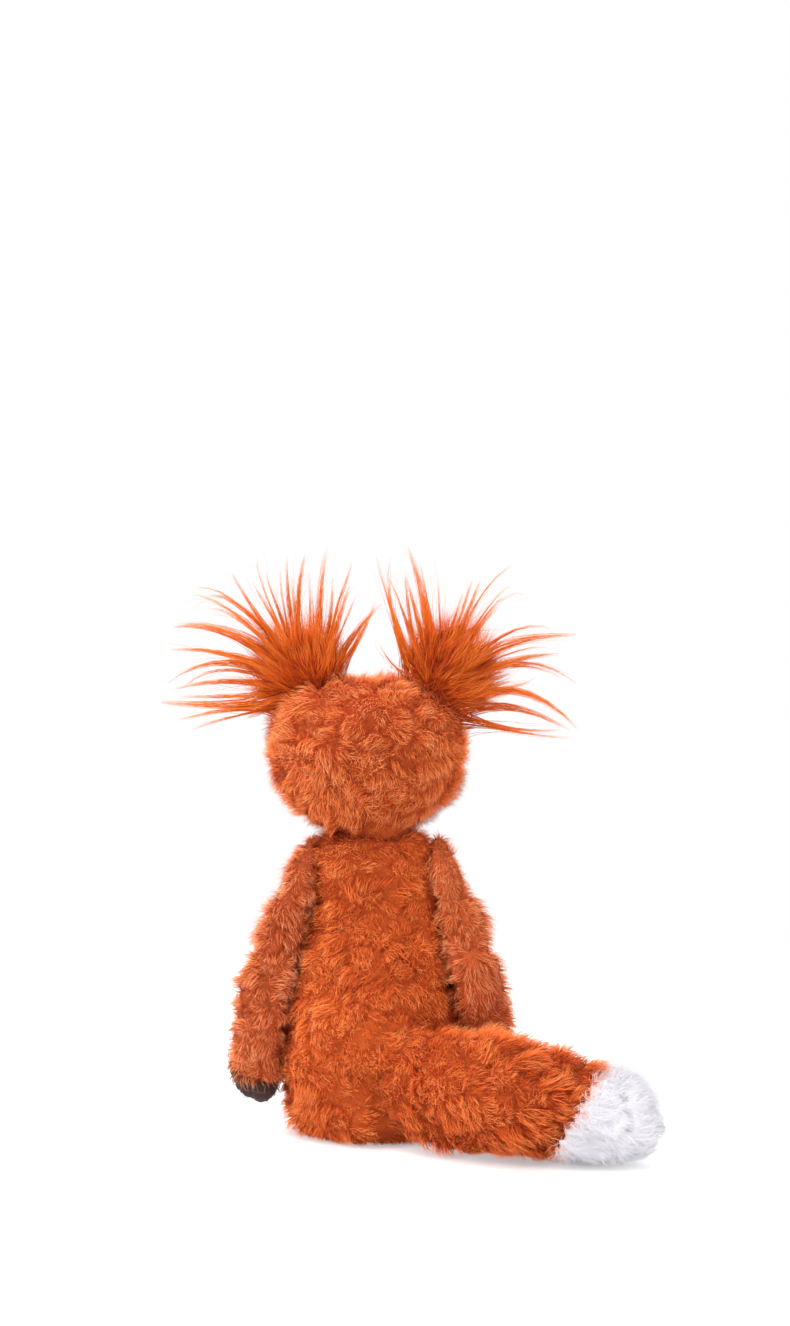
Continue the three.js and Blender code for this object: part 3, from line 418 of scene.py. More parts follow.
# Pile: a closed tapered strand on each random point of the skin, combed along the attribute flow and
# drawn together into clumps, with its colour place (tone, height) in its own UV map
def pileTree():
    shares = tuftShares
    tree = bpy.data.node_groups.new("pile", "GeometryNodeTree")
    treeInputs(tree, [
        ("Skin", "geometry", None), ("Strands per area", "share", 5e5),
        ("Pile length", "length", 0.008), ("Strand radius", "length", 0.0003), ("Lean", "share", 0.6),
        ("Swirl", "share", 0.5), ("Swirl size", "length", 0.03), ("Clump size", "length", 0.009),
        ("Clump pull", "share", 0.5), ("Stray", "share", 0.5), ("Droop", "share", 0.2),
        ("Gap", "share", 0.4), ("Ruffle", "length", 0.002), ("Tone spread", "share", 0.3),
        ("Overlap", "share", 0.5), ("Floor", "length", 0.0004), ("Seed", "count", 1),
        ("Finish", "material", None),
    ])
    put = putter(tree)
    number, plus, minus, times = numberKit(put)
    vector, scaled, added, dot = vectorKit(put)
    joined, part, centred = partKit(put)
    named, keep = attributeKit(put)
    given = put("NodeGroupInput").outputs
    clumpSize = given["Clump size"]
    spotHere = outOf(put("GeometryNodeInputPosition"))
    skinNormal = outOf(put("GeometryNodeInputNormal"))

    def chance(low, high, shift):
        inputs = {"Min": low, "Max": high, "Seed": plus(given["Seed"], shift)}
        return outOf(put("FunctionNodeRandomValue", inputs, data_type="FLOAT"))

    def measured(size):
        return vector("DIVIDE", spotHere, joined(size, size, size))

    def noise(size, detail):
        return put("ShaderNodeTexNoise", {"Vector": measured(size), "Scale": 1.0, "Detail": detail})

    # How near the rim of its clump each point lies, and deeper rims in patches
    bends = scaled(centred(outOf(noise(times(clumpSize, shares["bendSize"]), 1.0), "Color")), shares["bend"])

    def cellSpot(size, shift):
        flat = vector("MULTIPLY", measured(size), shares["cell"])
        return added(added(flat, bends), (shift, shift * 1.7, shift * 0.6))

    edge = outOf(put("ShaderNodeTexVoronoi", {"Vector": cellSpot(clumpSize, 3.1), "Scale": 1.0},
                     feature="DISTANCE_TO_EDGE"))
    patch = minus(outOf(noise(times(clumpSize, shares["patchSize"]), 0.0)), shares["patchFrom"])
    patch = number("MULTIPLY", patch, shares["patchGain"], clamp=True)
    rim = number("SUBTRACT", 1.0, number("DIVIDE", edge, shares["rimWidth"]), clamp=True)
    rim = times(rim, plus(shares["rimDepth"], times(patch, shares["patchDepth"])))

    # The skin, sunk along the rims, and a random point for each strand
    sink = times(times(given["Ruffle"], -1.0), times(rim, named("pile")))
    skin = outOf(put("GeometryNodeSetPosition", {"Geometry": given["Skin"],
                                                 "Offset": scaled(skinNormal, sink)}))
    skin = keep(skin, "skinNormal", "FLOAT_VECTOR", skinNormal, "POINT")
    density = times(given["Strands per area"], named("cover"))
    scatter = put("GeometryNodeDistributePointsOnFaces",
                  {"Mesh": skin, "Density": density, "Seed": given["Seed"]}, distribute_method="RANDOM")
    points = keep(outOf(scatter, "Points"), "root", "FLOAT_VECTOR", spotHere, "POINT")
    up = vector("NORMALIZE", named("skinNormal", "FLOAT_VECTOR"))

    def alongSkin(value):
        return vector("SUBTRACT", value, scaled(up, dot(value, up)))

    # The way to the middle of the clump, and a colour that is the clump's own
    def clump(size, shift):
        spot = cellSpot(size, shift)
        cell = put("ShaderNodeTexVoronoi", {"Vector": spot, "Scale": 1.0})
        toMiddle = scaled(vector("SUBTRACT", outOf(cell, "Position"), spot), size)
        return alongSkin(vector("MULTIPLY", toMiddle, shares["cellBack"])), outOf(cell, "Color")

    toBig, bigColour = clump(clumpSize, 3.1)
    toSmall, smallColour = clump(times(clumpSize, shares["smallCell"]), 7.7)

    # The comb: the flow, turned a little everywhere, for each clump and for each strand
    swirl = centred(outOf(noise(given["Swirl size"], 2.0), "Color"))
    swirl = scaled(swirl, times(given["Swirl"], shares["swirl"]))
    clumpSwirl = scaled(centred(bigColour), times(given["Swirl"], shares["clumpSwirl"]))
    own = {"Min": (-1, -1, -1), "Max": (1, 1, 1), "Seed": plus(given["Seed"], 5)}
    own = outOf(put("FunctionNodeRandomValue", own, data_type="FLOAT_VECTOR"))
    stray = scaled(own, given["Stray"])
    comb = added(added(named("flow", "FLOAT_VECTOR"), swirl), added(clumpSwirl, stray))
    comb = vector("NORMALIZE", alongSkin(comb))

    # A tuft lies over the next: short in painted shade where it starts, long in painted light where it ends
    start = times(number("DIVIDE", dot(toBig, comb), clumpSize), given["Overlap"])
    low, high = shares["startRim"]
    startRim = number("MAXIMUM", plus(times(start, shares["startGain"]), 1.0), low)
    rim = times(rim, number("MINIMUM", startRim, high))
    low, spread = shares["clumpLengths"]
    lengthShare = times(named("pile"), chance(*shares["lengths"], 1))
    clumpLength = plus(low, times(part(bigColour, 1), spread))
    clumpLength = times(clumpLength, minus(1.0, times(rim, given["Gap"])))
    clumpLength = minus(clumpLength, times(start, shares["startShort"]))
    clumpLength = number("MAXIMUM", clumpLength, shares["shortest"])
    length = times(times(given["Pile length"], lengthShare), clumpLength)
    lean = times(times(length, given["Lean"]), chance(*shares["leans"], 2))
    reach = number("MINIMUM", number("DIVIDE", length, given["Pile length"]), 1.0)
    pull = added(scaled(toBig, shares["bigPull"]), scaled(toSmall, shares["smallPull"]))
    pull = scaled(pull, times(given["Clump pull"], reach))
    points = keep(points, "bend", "FLOAT_VECTOR", added(scaled(comb, lean), pull), "POINT")
    points = keep(points, "reach", "FLOAT", length, "POINT")

    # Tones of the clumps and strands, darker as painted shade at rims, at the starts of tufts and in clefts
    smallTone = times(part(smallColour, 0), shares["smallTone"])
    bigTone = times(part(bigColour, 2), shares["bigTone"])
    mixed = plus(plus(smallTone, bigTone), times(chance(0.0, 1.0, 3), shares["ownTone"]))
    tone = plus(0.5, times(minus(mixed, 0.5), times(given["Tone spread"], shares["toneGain"])))
    tone = minus(plus(tone, shares["toneLift"]), times(rim, shares["rimTone"]))
    tone = minus(tone, times(start, shares["startTone"]))
    tone = minus(tone, times(named("cleft"), shares["cleftTone"]))
    points = keep(points, "tone", "FLOAT", tone, "POINT")
    # Painted shade in clefts and at the rims of clumps, up to the darkest
    shade = plus(times(named("cleft"), shares["cleftShade"]), times(times(rim, rim), shares["rimShade"]))
    points = keep(points, "shade", "FLOAT", number("MINIMUM", shade, shares["darkest"]), "POINT")

    # One small cone on each point, whose own places are kept before it is realized
    strand = outOf(put("GeometryNodeMeshCone", {
        "Vertices": 3, "Side Segments": 2, "Fill Segments": 1,
        "Radius Top": 0.0, "Radius Bottom": 1.0, "Depth": 1.0}), "Mesh")
    strand = keep(strand, "spot", "FLOAT_VECTOR", spotHere, "POINT")
    placed = put("GeometryNodeInstanceOnPoints",
                 {"Points": points, "Instance": strand, "Scale": (0.0001, 0.0001, 0.0001)})
    made = outOf(put("GeometryNodeRealizeInstances", {"Geometry": outOf(placed)}))

    # Each cone bent from its root: it rises, leans with the comb and droops, and never meets the floor
    x, y, z = put("ShaderNodeSeparateXYZ", {0: named("spot", "FLOAT_VECTOR")}).outputs
    height = number("ADD", z, 0.0, clamp=True)
    square = times(height, height)
    across = minus(1.0, times(height, 0.5))  # takes back half of the cone's even taper
    flatX, flatY = number("DIVIDE", x, across), number("DIVIDE", y, across)
    radius = times(given["Strand radius"], minus(1.0, square))
    reachUp, tilt = named("reach"), named("bend", "FLOAT_VECTOR")
    rise = times(reachUp, minus(height, times(square, given["Droop"])))
    climb = times(reachUp, minus(1.0, times(height, times(given["Droop"], 2.0))))
    middle = added(added(named("root", "FLOAT_VECTOR"), scaled(up, rise)), scaled(tilt, square))
    tangent = added(scaled(up, climb), scaled(tilt, times(height, 2.0)))
    nudged = added(tilt, (0.00002, 0.00001, 0.00003))  # never in line with the normal
    sideways = vector("NORMALIZE", vector("CROSS_PRODUCT", up, nudged))
    other = vector("NORMALIZE", vector("CROSS_PRODUCT", tangent, sideways))
    spot = added(middle, scaled(sideways, times(radius, flatX)))
    spot = added(spot, scaled(other, times(radius, flatY)))
    x, y, z = put("ShaderNodeSeparateXYZ", {0: spot}).outputs
    z = number("MAXIMUM", z, plus(given["Floor"], times(height, shares["tipLift"])))
    made = outOf(put("GeometryNodeSetPosition", {"Geometry": made, "Position": joined(x, y, z)}))

    # The colour place has a little width, so that no face is without area there
    toneSpot = number("MAXIMUM", named("tone"), shares["mapEdge"])
    toneSpot = number("MINIMUM", toneSpot, 1 - shares["mapEdge"])
    toneSpot = plus(toneSpot, times(flatX, shares["mapWidth"]))
    # Painted shade: a shaded strand takes its colours lower on the ramp, towards the dark foot
    heightSpot = plus(shares["mapFoot"], times(height, minus(1.0, named("shade"))))
    heightSpot = plus(heightSpot, times(flatY, shares["mapWidth"]))
    made = keep(made, bakeMap, "FLOAT2", joined(toneSpot, heightSpot), "CORNER")
    join = tree.nodes.new("GeometryNodeJoinGeometry")
    tree.links.new(made, join.inputs[0])
    tree.links.new(skin, join.inputs[0])
    spent = ("root", "bend", "reach", "tone", "spot", "flow", "pile", "cover", "cleft", "shade")
    endTree(tree, put, outOf(join), spent, given["Finish"])
    return tree


pile = pileTree()


# Materials. A colour goes from sRGB, 0 to 255, to linear
def colour(red, green, blue):
    shares = [value / 255 for value in (red, green, blue)]
    return (*(v / 12.92 if v < 0.04 else ((v + 0.055) / 1.055) ** 2.4 for v in shares), 1)


rampSizes = {"bodyFrom": 0.45, "tipSpan": 0.5, "rough": 0.92, "smoother": 0.25}


# Fibres: dark at the foot and lighter at the tip, and each clump with a tone of its own and the pile's
# painted shade
def fibreGroup():
    tree = bpy.data.node_groups.new("fibreColour", "ShaderNodeTree")
    for name in ("Foot dark", "Foot light", "Body dark", "Body light", "Tip dark", "Tip light"):
        tree.interface.new_socket(name, in_out="INPUT", socket_type="NodeSocketColor")
    tree.interface.new_socket("Colour", in_out="OUTPUT", socket_type="NodeSocketColor")
    tree.interface.new_socket("Roughness", in_out="OUTPUT", socket_type="NodeSocketFloat")
    put = putter(tree)
    number, _, minus, times = numberKit(put)
    given = put("NodeGroupInput").outputs
    spot = outOf(put("ShaderNodeUVMap", uv_map=bakeMap))
    tone, height, _ = put("ShaderNodeSeparateXYZ", {0: spot}).outputs

    def blended(low, high, factor):
        return outOf(put("ShaderNodeMix", {"Factor": factor, "A": low, "B": high}, data_type="RGBA"))

    foot = blended(given["Foot dark"], given["Foot light"], tone)
    body = blended(given["Body dark"], given["Body light"], tone)
    tip = blended(given["Tip dark"], given["Tip light"], tone)
    low = number("MULTIPLY", height, 1 / rampSizes["bodyFrom"], clamp=True)
    high = number("DIVIDE", minus(height, rampSizes["bodyFrom"]), rampSizes["tipSpan"], clamp=True)
    sink = tree.nodes.new("NodeGroupOutput")
    tree.links.new(blended(blended(foot, body, low), tip, high), sink.inputs["Colour"])
    roughness = minus(rampSizes["rough"], times(height, rampSizes["smoother"]))
    tree.links.new(roughness, sink.inputs["Roughness"])
    return tree


fibres = fibreGroup()


# Shaded partly as the skin under it, since light goes through thin fibres
def softNormal(put, softness):
    vector, scaled, added, _ = vectorKit(put)
    skin = outOf(put("ShaderNodeAttribute", attribute_name="skinNormal"), "Vector")
    skin = outOf(put("ShaderNodeVectorTransform", {0: skin}, vector_type="NORMAL",
                     convert_from="OBJECT", convert_to="WORLD"))
    facet = outOf(put("ShaderNodeNewGeometry"), "Normal")
    return vector("NORMALIZE", added(scaled(skin, softness), scaled(facet, 1 - softness)))


# Plush of six colours, with how much sheen it has and how far it is shaded as its skin
def plushMaterial(name, shades, sheen, softness):
    material = bpy.data.materials.new(name)
    material.use_nodes = True
    nodes, links = material.node_tree.nodes, material.node_tree.links
    shader = nodes["Principled BSDF"]
    group = nodes.new("ShaderNodeGroup")
    group.node_tree = fibres
    for key, value in shades.items():
        group.inputs[key].default_value = colour(*value)
    links.new(group.outputs["Colour"], shader.inputs["Base Color"])
    links.new(group.outputs["Roughness"], shader.inputs["Roughness"])
    if softness:
        links.new(softNormal(putter(material.node_tree), softness), shader.inputs["Normal"])
    shader.inputs["Specular IOR Level"].default_value = 0.3
    shader.inputs["Sheen Weight"].default_value = sheen
    shader.inputs["Sheen Roughness"].default_value = 0.5
    return material


bodyPlush = plushMaterial("bodyPlush", {
    "Foot dark": (92, 18, 0), "Foot light": (154, 44, 4),
    "Body dark": (224, 88, 20), "Body light": (254, 134, 50),
    "Tip dark": (246, 120, 48), "Tip light": (255, 178, 110),
}, 0.05, 0.25)
# Plush of the arms and legs: the body's orange with paler, pinker tips, a painted highlight of light from the
# side
limbPlush = plushMaterial("limbPlush", {
    "Foot dark": (98, 20, 4), "Foot light": (160, 50, 14),
    "Body dark": (222, 99, 44), "Body light": (253, 143, 74),
    "Tip dark": (250, 146, 90), "Tip light": (255, 204, 158),
}, 0.05, 0.4)
# Plush of the head: paler than the body's, and brighter still with pale tips as painted light from above
headPlush = plushMaterial("headPlush", {
    "Foot dark": (100, 22, 2), "Foot light": (166, 54, 10),
    "Body dark": (238, 100, 32), "Body light": (255, 142, 60),
    "Tip dark": (255, 144, 74), "Tip light": (255, 206, 150),
}, 0.05, 0.4)
earHair = plushMaterial("earHair", {
    "Foot dark": (136, 34, 0), "Foot light": (202, 72, 10),
    "Body dark": (202, 68, 0), "Body light": (255, 136, 30),
    "Tip dark": (226, 98, 18), "Tip light": (255, 160, 74),
}, 0, 0)
whitePlush = plushMaterial("whitePlush", {
    "Foot dark": (240, 238, 244), "Foot light": (246, 244, 250),
    "Body dark": (248, 246, 252), "Body light": (252, 251, 255),
    "Tip dark": (251, 250, 254), "Tip light": (254, 254, 255),
}, 0.3, 0.5)
brownPlush = plushMaterial("brownPlush", {
    "Foot dark": (30, 16, 14), "Foot light": (44, 27, 24),
    "Body dark": (56, 34, 31), "Body light": (86, 56, 50),
    "Tip dark": (80, 52, 48), "Tip light": (124, 88, 80),
}, 0.1, 0.4)
noseVelvet = plushMaterial("noseVelvet", {
    "Foot dark": (34, 14, 14), "Foot light": (48, 22, 21),
    "Body dark": (62, 28, 27), "Body light": (84, 42, 38),
    "Tip dark": (86, 46, 42), "Tip light": (120, 74, 66),
}, 0.2, 0.4)


# Smooth moulded plastic with faint flow marks, and a ring of another colour where sizes have one
def plastic(name, sizes):
    material = bpy.data.materials.new(name)
    material.use_nodes = True
    put = putter(material.node_tree)
    shader = material.node_tree.nodes["Principled BSDF"]
    link = material.node_tree.links.new
    spot = outOf(put("ShaderNodeTexCoord"), "Object")
    marks = outOf(put("ShaderNodeTexNoise", {"Vector": spot, "Scale": 220.0, "Detail": 3.0}))

    def blended(low, high, factor):
        return outOf(put("ShaderNodeMix", {"Factor": factor, "A": low, "B": high}, data_type="RGBA"))

    shown = blended(colour(*sizes["dark"]), colour(*sizes["light"]), marks)
    if "ring" in sizes:
        along = outOf(put("ShaderNodeSeparateXYZ", {0: outOf(put("ShaderNodeUVMap", uv_map=bakeMap))}), 1)
        edges = [outOf(put("ShaderNodeMapRange", {"Value": along, "From Min": start,
                                                  "From Max": start + sizes["ringSoft"]}))
                 for start in sizes["ring"]]
        band = outOf(put("ShaderNodeMath", {0: edges[0], 1: edges[1]}, operation="SUBTRACT"))
        ring = blended(colour(*sizes["ringDark"]), colour(*sizes["ringLight"]), marks)
        shown = blended(shown, ring, band)
    link(shown, shader.inputs["Base Color"])
    rough = {"Value": marks, "To Min": sizes["roughness"], "To Max": sizes["roughness"] * 1.6}
    link(outOf(put("ShaderNodeMapRange", rough)), shader.inputs["Roughness"])
    bump = put("ShaderNodeBump", {"Strength": 0.08, "Distance": 0.0003, "Height": marks})
    link(outOf(bump), shader.inputs["Normal"])
    shader.inputs["Coat Weight"].default_value = sizes["coat"]
    shader.inputs["Coat Roughness"].default_value = 0.05
    return material


eyePlastic = plastic("eyePlastic", {
    "dark": (9, 7, 6), "light": (16, 12, 10), "roughness": 0.12, "coat": 0.6,
    "ring": (0.17, 0.27), "ringSoft": 0.03, "ringDark": (30, 13, 6), "ringLight": (58, 28, 12),
})
washerPlastic = plastic("washerPlastic", {
    "dark": (222, 222, 216), "light": (236, 236, 232), "roughness": 0.42, "coat": 0.1,
})
for hand in ("left", "right"):
    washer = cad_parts[hand + "_eye_washer"]
    washer.data.materials.clear()
    washer.data.materials.append(washerPlastic)


# Plain woven cotton, its threads 0.5 mm apart
def wovenMaterial(name, dark, light):
    material = bpy.data.materials.new(name)
    material.use_nodes = True
    put = putter(material.node_tree)
    number, plus, _, times = numberKit(put)
    shader = material.node_tree.nodes["Principled BSDF"]
    link = material.node_tree.links.new
    spot = outOf(put("ShaderNodeTexCoord"), "Object")
    wave = {"Vector": spot, "Scale": 630.0, "Distortion": 0.6, "Detail": 1.0}
    threads = [outOf(put("ShaderNodeTexWave", wave, bands_direction=axis), "Fac") for axis in ("X", "Z")]
    weave = times(plus(threads[0], threads[1]), 0.5)
    slub = outOf(put("ShaderNodeTexNoise", {"Vector": spot, "Scale": 160.0, "Detail": 3.0}))
    shade = number("ADD", times(weave, 0.6), times(slub, 0.5), clamp=True)
    tint = {"Factor": shade, "A": colour(*dark), "B": colour(*light)}
    link(outOf(put("ShaderNodeMix", tint, data_type="RGBA")), shader.inputs["Base Color"])
    rough = put("ShaderNodeMapRange", {"Value": slub, "To Min": 0.8, "To Max": 0.98})
    link(outOf(rough), shader.inputs["Roughness"])
    bump = put("ShaderNodeBump", {"Strength": 0.5, "Distance": 0.0002, "Height": weave})
    link(outOf(bump), shader.inputs["Normal"])
    shader.inputs["Sheen Weight"].default_value = 0.1
    return material


bagCloth = wovenMaterial("bagCloth", (176, 168, 150), (226, 220, 206))


# Gives a skin its colour places, in slow waves near the foot of the ramp, so no face is without area there
def mapSkin(piece):
    mesh = piece.data
    layer = mesh.uv_layers.new(name=bakeMap)
    corners = np.empty(len(mesh.loops), np.int32)
    mesh.loops.foreach_get("vertex_index", corners)
    points, _, _ = meshArrays(piece)
    waves = points[corners] @ np.array([[2.1, 0.25], [1.3, 0.17], [1.7, 0.31]])
    tone, height = 0.5 + 0.45 * np.sin(waves[:, 0] * 9), 0.09 + 0.06 * np.sin(waves[:, 1] * 14)
    layer.data.foreach_set("uv", np.stack([tone, height], axis=1).astype(np.float32).ravel())


# A value or a vector for each point, which the trees read by name
def giveAttribute(piece, name, values):
    flat = np.asarray(values, np.float32)
    kind, key = ("FLOAT_VECTOR", "vector") if flat.ndim == 2 else ("FLOAT", "value")
    piece.data.attributes.new(name, kind, "POINT").data.foreach_set(key, flat.ravel())


# A skin with its pile. The room, the cover and the painted shade of a cleft are shares for each point.
def growPile(piece, flow, room, cover, cleft, sizes, finish, seed):
    giveAttribute(piece, "cleft", cleft)
    giveAttribute(piece, "flow", flow)
    giveAttribute(piece, "pile", room)
    giveAttribute(piece, "cover", cover)
    mapSkin(piece)
    for polygon in piece.data.polygons:
        polygon.use_smooth = True
    applyTree(piece, pile, {
        "Strands per area": sizes["strands"] / mm ** 2, "Pile length": sizes["pile"] * mm,
        "Strand radius": sizes["strandRadius"] * mm, "Lean": sizes["lean"], "Swirl": sizes["swirl"],
        "Swirl size": sizes["swirlSize"] * mm, "Clump size": sizes["clump"] * mm,
        "Clump pull": sizes["pull"], "Stray": sizes["stray"], "Droop": sizes["droop"],
        "Gap": sizes["gap"], "Ruffle": sizes["ruffle"] * mm, "Tone spread": sizes["toneSpread"],
        "Overlap": sizes["overlap"], "Seed": seed, "Finish": finish,
    })
    tellTriangles(piece)
    return piece


def tellTriangles(piece):
    print(piece.name, "triangles", sum(len(p.vertices) - 2 for p in piece.data.polygons))


# Colour places round and along a piece made of rings, with its first and last points as poles
def mapRound(piece, sides):
    count = (len(piece.data.vertices) - 2) // sides
    layer = piece.data.uv_layers.new(name=bakeMap)
    for face in piece.data.polygons:
        face.use_smooth = True
        corners = [piece.data.loops[k].vertex_index - 1 for k in face.loop_indices]
        turn = [v % sides / sides if 0 <= v < count * sides else None for v in corners]
        known = [t for t in turn if t is not None]
        wraps = max(known) - min(known) > 0.5
        known = [t + 1 if wraps and t < 0.5 else t for t in known]
        for k, v, t in zip(face.loop_indices, corners, turn):
            t = sum(known) / len(known) if t is None else t + 1 if wraps and t < 0.5 else t
            ring = 1 + v // sides
            layer.data[k].uv = (0.02 + 0.96 * t * sides / (sides + 1), 0.02 + 0.96 * ring / (count + 1))


# A thin closed panel on part of a skin, for a cap or an inset of another colour
def panelOn(name, points, normals, faces, inside):
    chosen = [face for face in faces if all(inside[i] for i in face)]
    used = sorted({i for face in chosen for i in face})
    place = {old: new for new, old in enumerate(used)}
    outer = points[used] + normals[used] * panelLift * mm
    inner = outer - normals[used] * panelThickness * mm
    count = len(used)
    front = [tuple(place[i] for i in face) for face in chosen]
    edges = {}
    for face in front:
        for a, b in zip(face, face[1:] + face[:1]):
            edges[(a, b)] = True
    rim = [(b, a, a + count, b + count) for a, b in edges if (b, a) not in edges]
    back = [tuple(i + count for i in reversed(face)) for face in front]
    piece = meshObject(name, np.concatenate([outer, inner]), front + back + rim)
    return piece, used, np.concatenate([np.ones(count), np.zeros(count)])


# Lengths in mm, strands for each square mm, and shares; a piece changes the ones that it names
pileSizes = {
    "strands": 0.7, "pile": 9.6, "strandRadius": 0.22, "lean": 0.66, "swirl": 1.0, "swirlSize": 22,
    "clump": 11.5, "pull": 0.5, "stray": 0.5, "droop": 0.2, "gap": 0.7, "ruffle": 3.8,
    "toneSpread": 0.5, "overlap": 0.3,
}
whiteSizes = {
    "overlap": 0, "ruffle": 0.3, "gap": 0.1, "clump": 8.0, "lean": 0.7, "swirl": 0.5, "stray": 0.5,
}
seamRoom = 0.7  # least share of the pile that stands where a neighbour presses
underPanel = 1.2  # how far the skin lies in under a panel
panelLift = 0.3  # how far a panel lies out from the skin
panelThickness = 1.0
lowest = 0.8  # skin over the floor
skinInset = 3.0  # skin under the surface that the part's solids give the pile
calmUnder = 12  # height over the floor under which the skin keeps its plain form
shortUnder = 14  # height over the floor under which the pile is shorter on faces that look down
furrowShort = 0.35  # how much shorter the pile is in a furrow or a fold
seamInset = 0.6  # skin under the surface where a neighbour presses hardest
seamShade = 0.27  # how dark the painted shade is in the cleft by a seam


# Sizes of the forms, in mm and degrees
headMiddle = 250  # heights over the floor
neckMiddle = 205
sizesOf = {
    "torso": {"height": 195, "halfWidth": 60, "halfDepth": 57},
    "head": {"length": 190, "halfWidth": 64, "halfHeight": 50, "behindNeck": 45,
             "lean": 8, "leanOver": 110, "upper": 0.9, "lower": 1.06, "nape": 0.12, "napeFade": 60},
    "arm": {"length": 165, "halfWidth": 22, "halfDepth": 18.5, "lean": 10.2, "crown": 11,
            "shoulder": (37.116, 5, 183), "paw": 16, "pawSlant": 14, "pawRise": -5, "pawFur": 12,
            "sway": 1.8},
    "leg": {"reach": 138, "radius": 18.5, "span": 33, "hip": (-44, 19.3), "footHeight": 53,
            "footHalfWidth": 21.5, "footHalfDepth": 20, "sole": 10.5, "floorGap": 0.8},
    "tail": {"length": 183, "halfWidth": 38, "halfHeight": 39, "hinge": (0, 58.328), "middle": 39.8,
             "restAngle": 80},
    "ear": {"length": 62, "halfWidth": 29, "halfDepth": 8, "hinge": (39.487, 0.35, 285.87),
            "up": (0.5415855, 0, 0.8406457), "across": (0.8406457, 0, -0.5415855)},
}


torsoForm = {
    "table": torsoTable, "length": sizesOf["torso"]["height"], "rounds": (0, 0.05),
    "halfWidth": sizesOf["torso"]["halfWidth"], "halfDepth": sizesOf["torso"]["halfDepth"],
    "place": lambda along, across, deep: np.stack([across, deep, along], axis=1),
}


# The back of the head sits a little to the fox's left, its top is flatter and its nape hangs lower
def headPlace(along, across, deep):
    sizes = sizesOf["head"]
    aside = sizes["lean"] * (1 - np.clip(along / sizes["leanOver"], 0, 1) ** 2)
    lower = sizes["lower"] + sizes["nape"] * np.clip(1.2 - along / sizes["napeFade"], 0, 1)
    height = headMiddle + deep * np.where(deep > 0, sizes["upper"], lower)
    return np.stack([across + aside, sizes["behindNeck"] - along, height], axis=1)


headForm = {
    "table": headTable, "length": sizesOf["head"]["length"], "halfWidth": sizesOf["head"]["halfWidth"],
    "halfDepth": sizesOf["head"]["halfHeight"], "rounds": (0.24, 0.13), "squareness": 2.45,
    "place": headPlace,
}


# Which way an arm hangs, its outward side, and its shoulder
def armFrame(side):
    lean = math.radians(sizesOf["arm"]["lean"])
    down = np.array([side * math.sin(lean), 0, -math.cos(lean)])
    out = np.array([side * math.cos(lean), 0, math.sin(lean)])
    x, y, z = sizesOf["arm"]["shoulder"]
    return down, out, np.array([side * x, y, z])


def armForm(side):
    sizes = sizesOf["arm"]
    down, out, shoulder = armFrame(side)
    top = shoulder - down * sizes["crown"]
    return {
        "table": armTable, "length": sizes["length"] + sizes["pawFur"], "halfWidth": sizes["halfWidth"],
        "halfDepth": sizes["halfDepth"], "rounds": (0.16, 0.13),
        "place": lambda along, across, deep:
            top + along[:, None] * down + deep[:, None] * out + across[:, None] * np.array([0, 1, 0])
            + (along / sizes["length"])[:, None] * np.array([sizes["sway"], 0, 0]),
    }


# The hip, the shank and the upturned foot of a leg
def legForms(side):
    sizes = sizesOf["leg"]
    radius, halfWidth, halfDepth = sizes["radius"], sizes["footHalfWidth"], sizes["footHalfDepth"]
    x, (y, z) = side * sizes["span"], sizes["hip"]
    shank = {
        "table": legTable, "length": sizes["reach"] - halfDepth, "halfWidth": radius,
        "halfDepth": radius, "rounds": (0, 0.1),
        "place": lambda along, across, deep: np.stack([x + across, y - along, z + deep], axis=1),
    }
    footY = y - sizes["reach"] + halfDepth
    foot = {
        "table": footTable, "length": sizes["footHeight"], "halfWidth": halfWidth,
        "halfDepth": halfDepth, "rounds": (0.24, 0.24),
        "place": lambda along, across, deep:
            np.stack([x + across, footY + deep, sizes["floorGap"] + along], axis=1),
    }
    hip = {
        "table": np.array([[0, 1, 1, 0, 0], [1, 1, 1, 0, 0]], float), "length": 2 * radius,
        "halfWidth": radius, "halfDepth": radius, "rounds": (0.22, 0.22),
        "place": lambda along, across, deep: np.stack([x - radius + along, y + across, z + deep], axis=1),
    }
    return [hip, shank, foot]


def tailForm():
    sizes = sizesOf["tail"]
    angle = math.radians(sizes["restAngle"])
    cos, sin = math.cos(angle), math.sin(angle)
    return {
        "table": tailTable, "length": sizes["length"], "halfWidth": sizes["halfWidth"],
        "halfDepth": sizes["halfHeight"], "rounds": (0, 0.13),
        "place": lambda along, across, deep: np.stack([
            cos * across - sin * along, sizes["hinge"][1] + sin * across + cos * along,
            sizes["middle"] + deep], axis=1),
    }


def earForm(side):
    sizes = sizesOf["ear"]
    flip = np.array([side, 1, 1])
    hinge, up, across3 = (np.array(sizes[k], float) * flip for k in ("hinge", "up", "across"))
    return {
        "table": earTable, "length": sizes["length"], "halfWidth": sizes["halfWidth"],
        "halfDepth": sizes["halfDepth"], "rounds": (0, 0.2),
        "place": lambda along, across, deep:
            hinge + along[:, None] * up + across[:, None] * across3 + deep[:, None] * np.array([0, 1, 0]),
    }


# Plain copies of the forms, against which the pile of their neighbours is pressed
plainForms = {
    "torso": loft(torsoForm, 0, 40, 30), "head": loft(headForm, 0, 40, 30),
    "tail": loft(tailForm(), 0, 32, 24),
}
for side, hand in ((1, "left"), (-1, "right")):
    plainForms[hand + "Arm"] = loft(armForm(side), 0, 24, 20)
    for index, form in enumerate(legForms(side)):
        plainForms[hand + "Leg" + str(index)] = loft(form, 0, 20, 12)
    plainForms[hand + "Ear"] = loft(earForm(side), 0, 20, 10)
near = {name: searchTree(*shape) for name, shape in plainForms.items()}
print("forms ready")


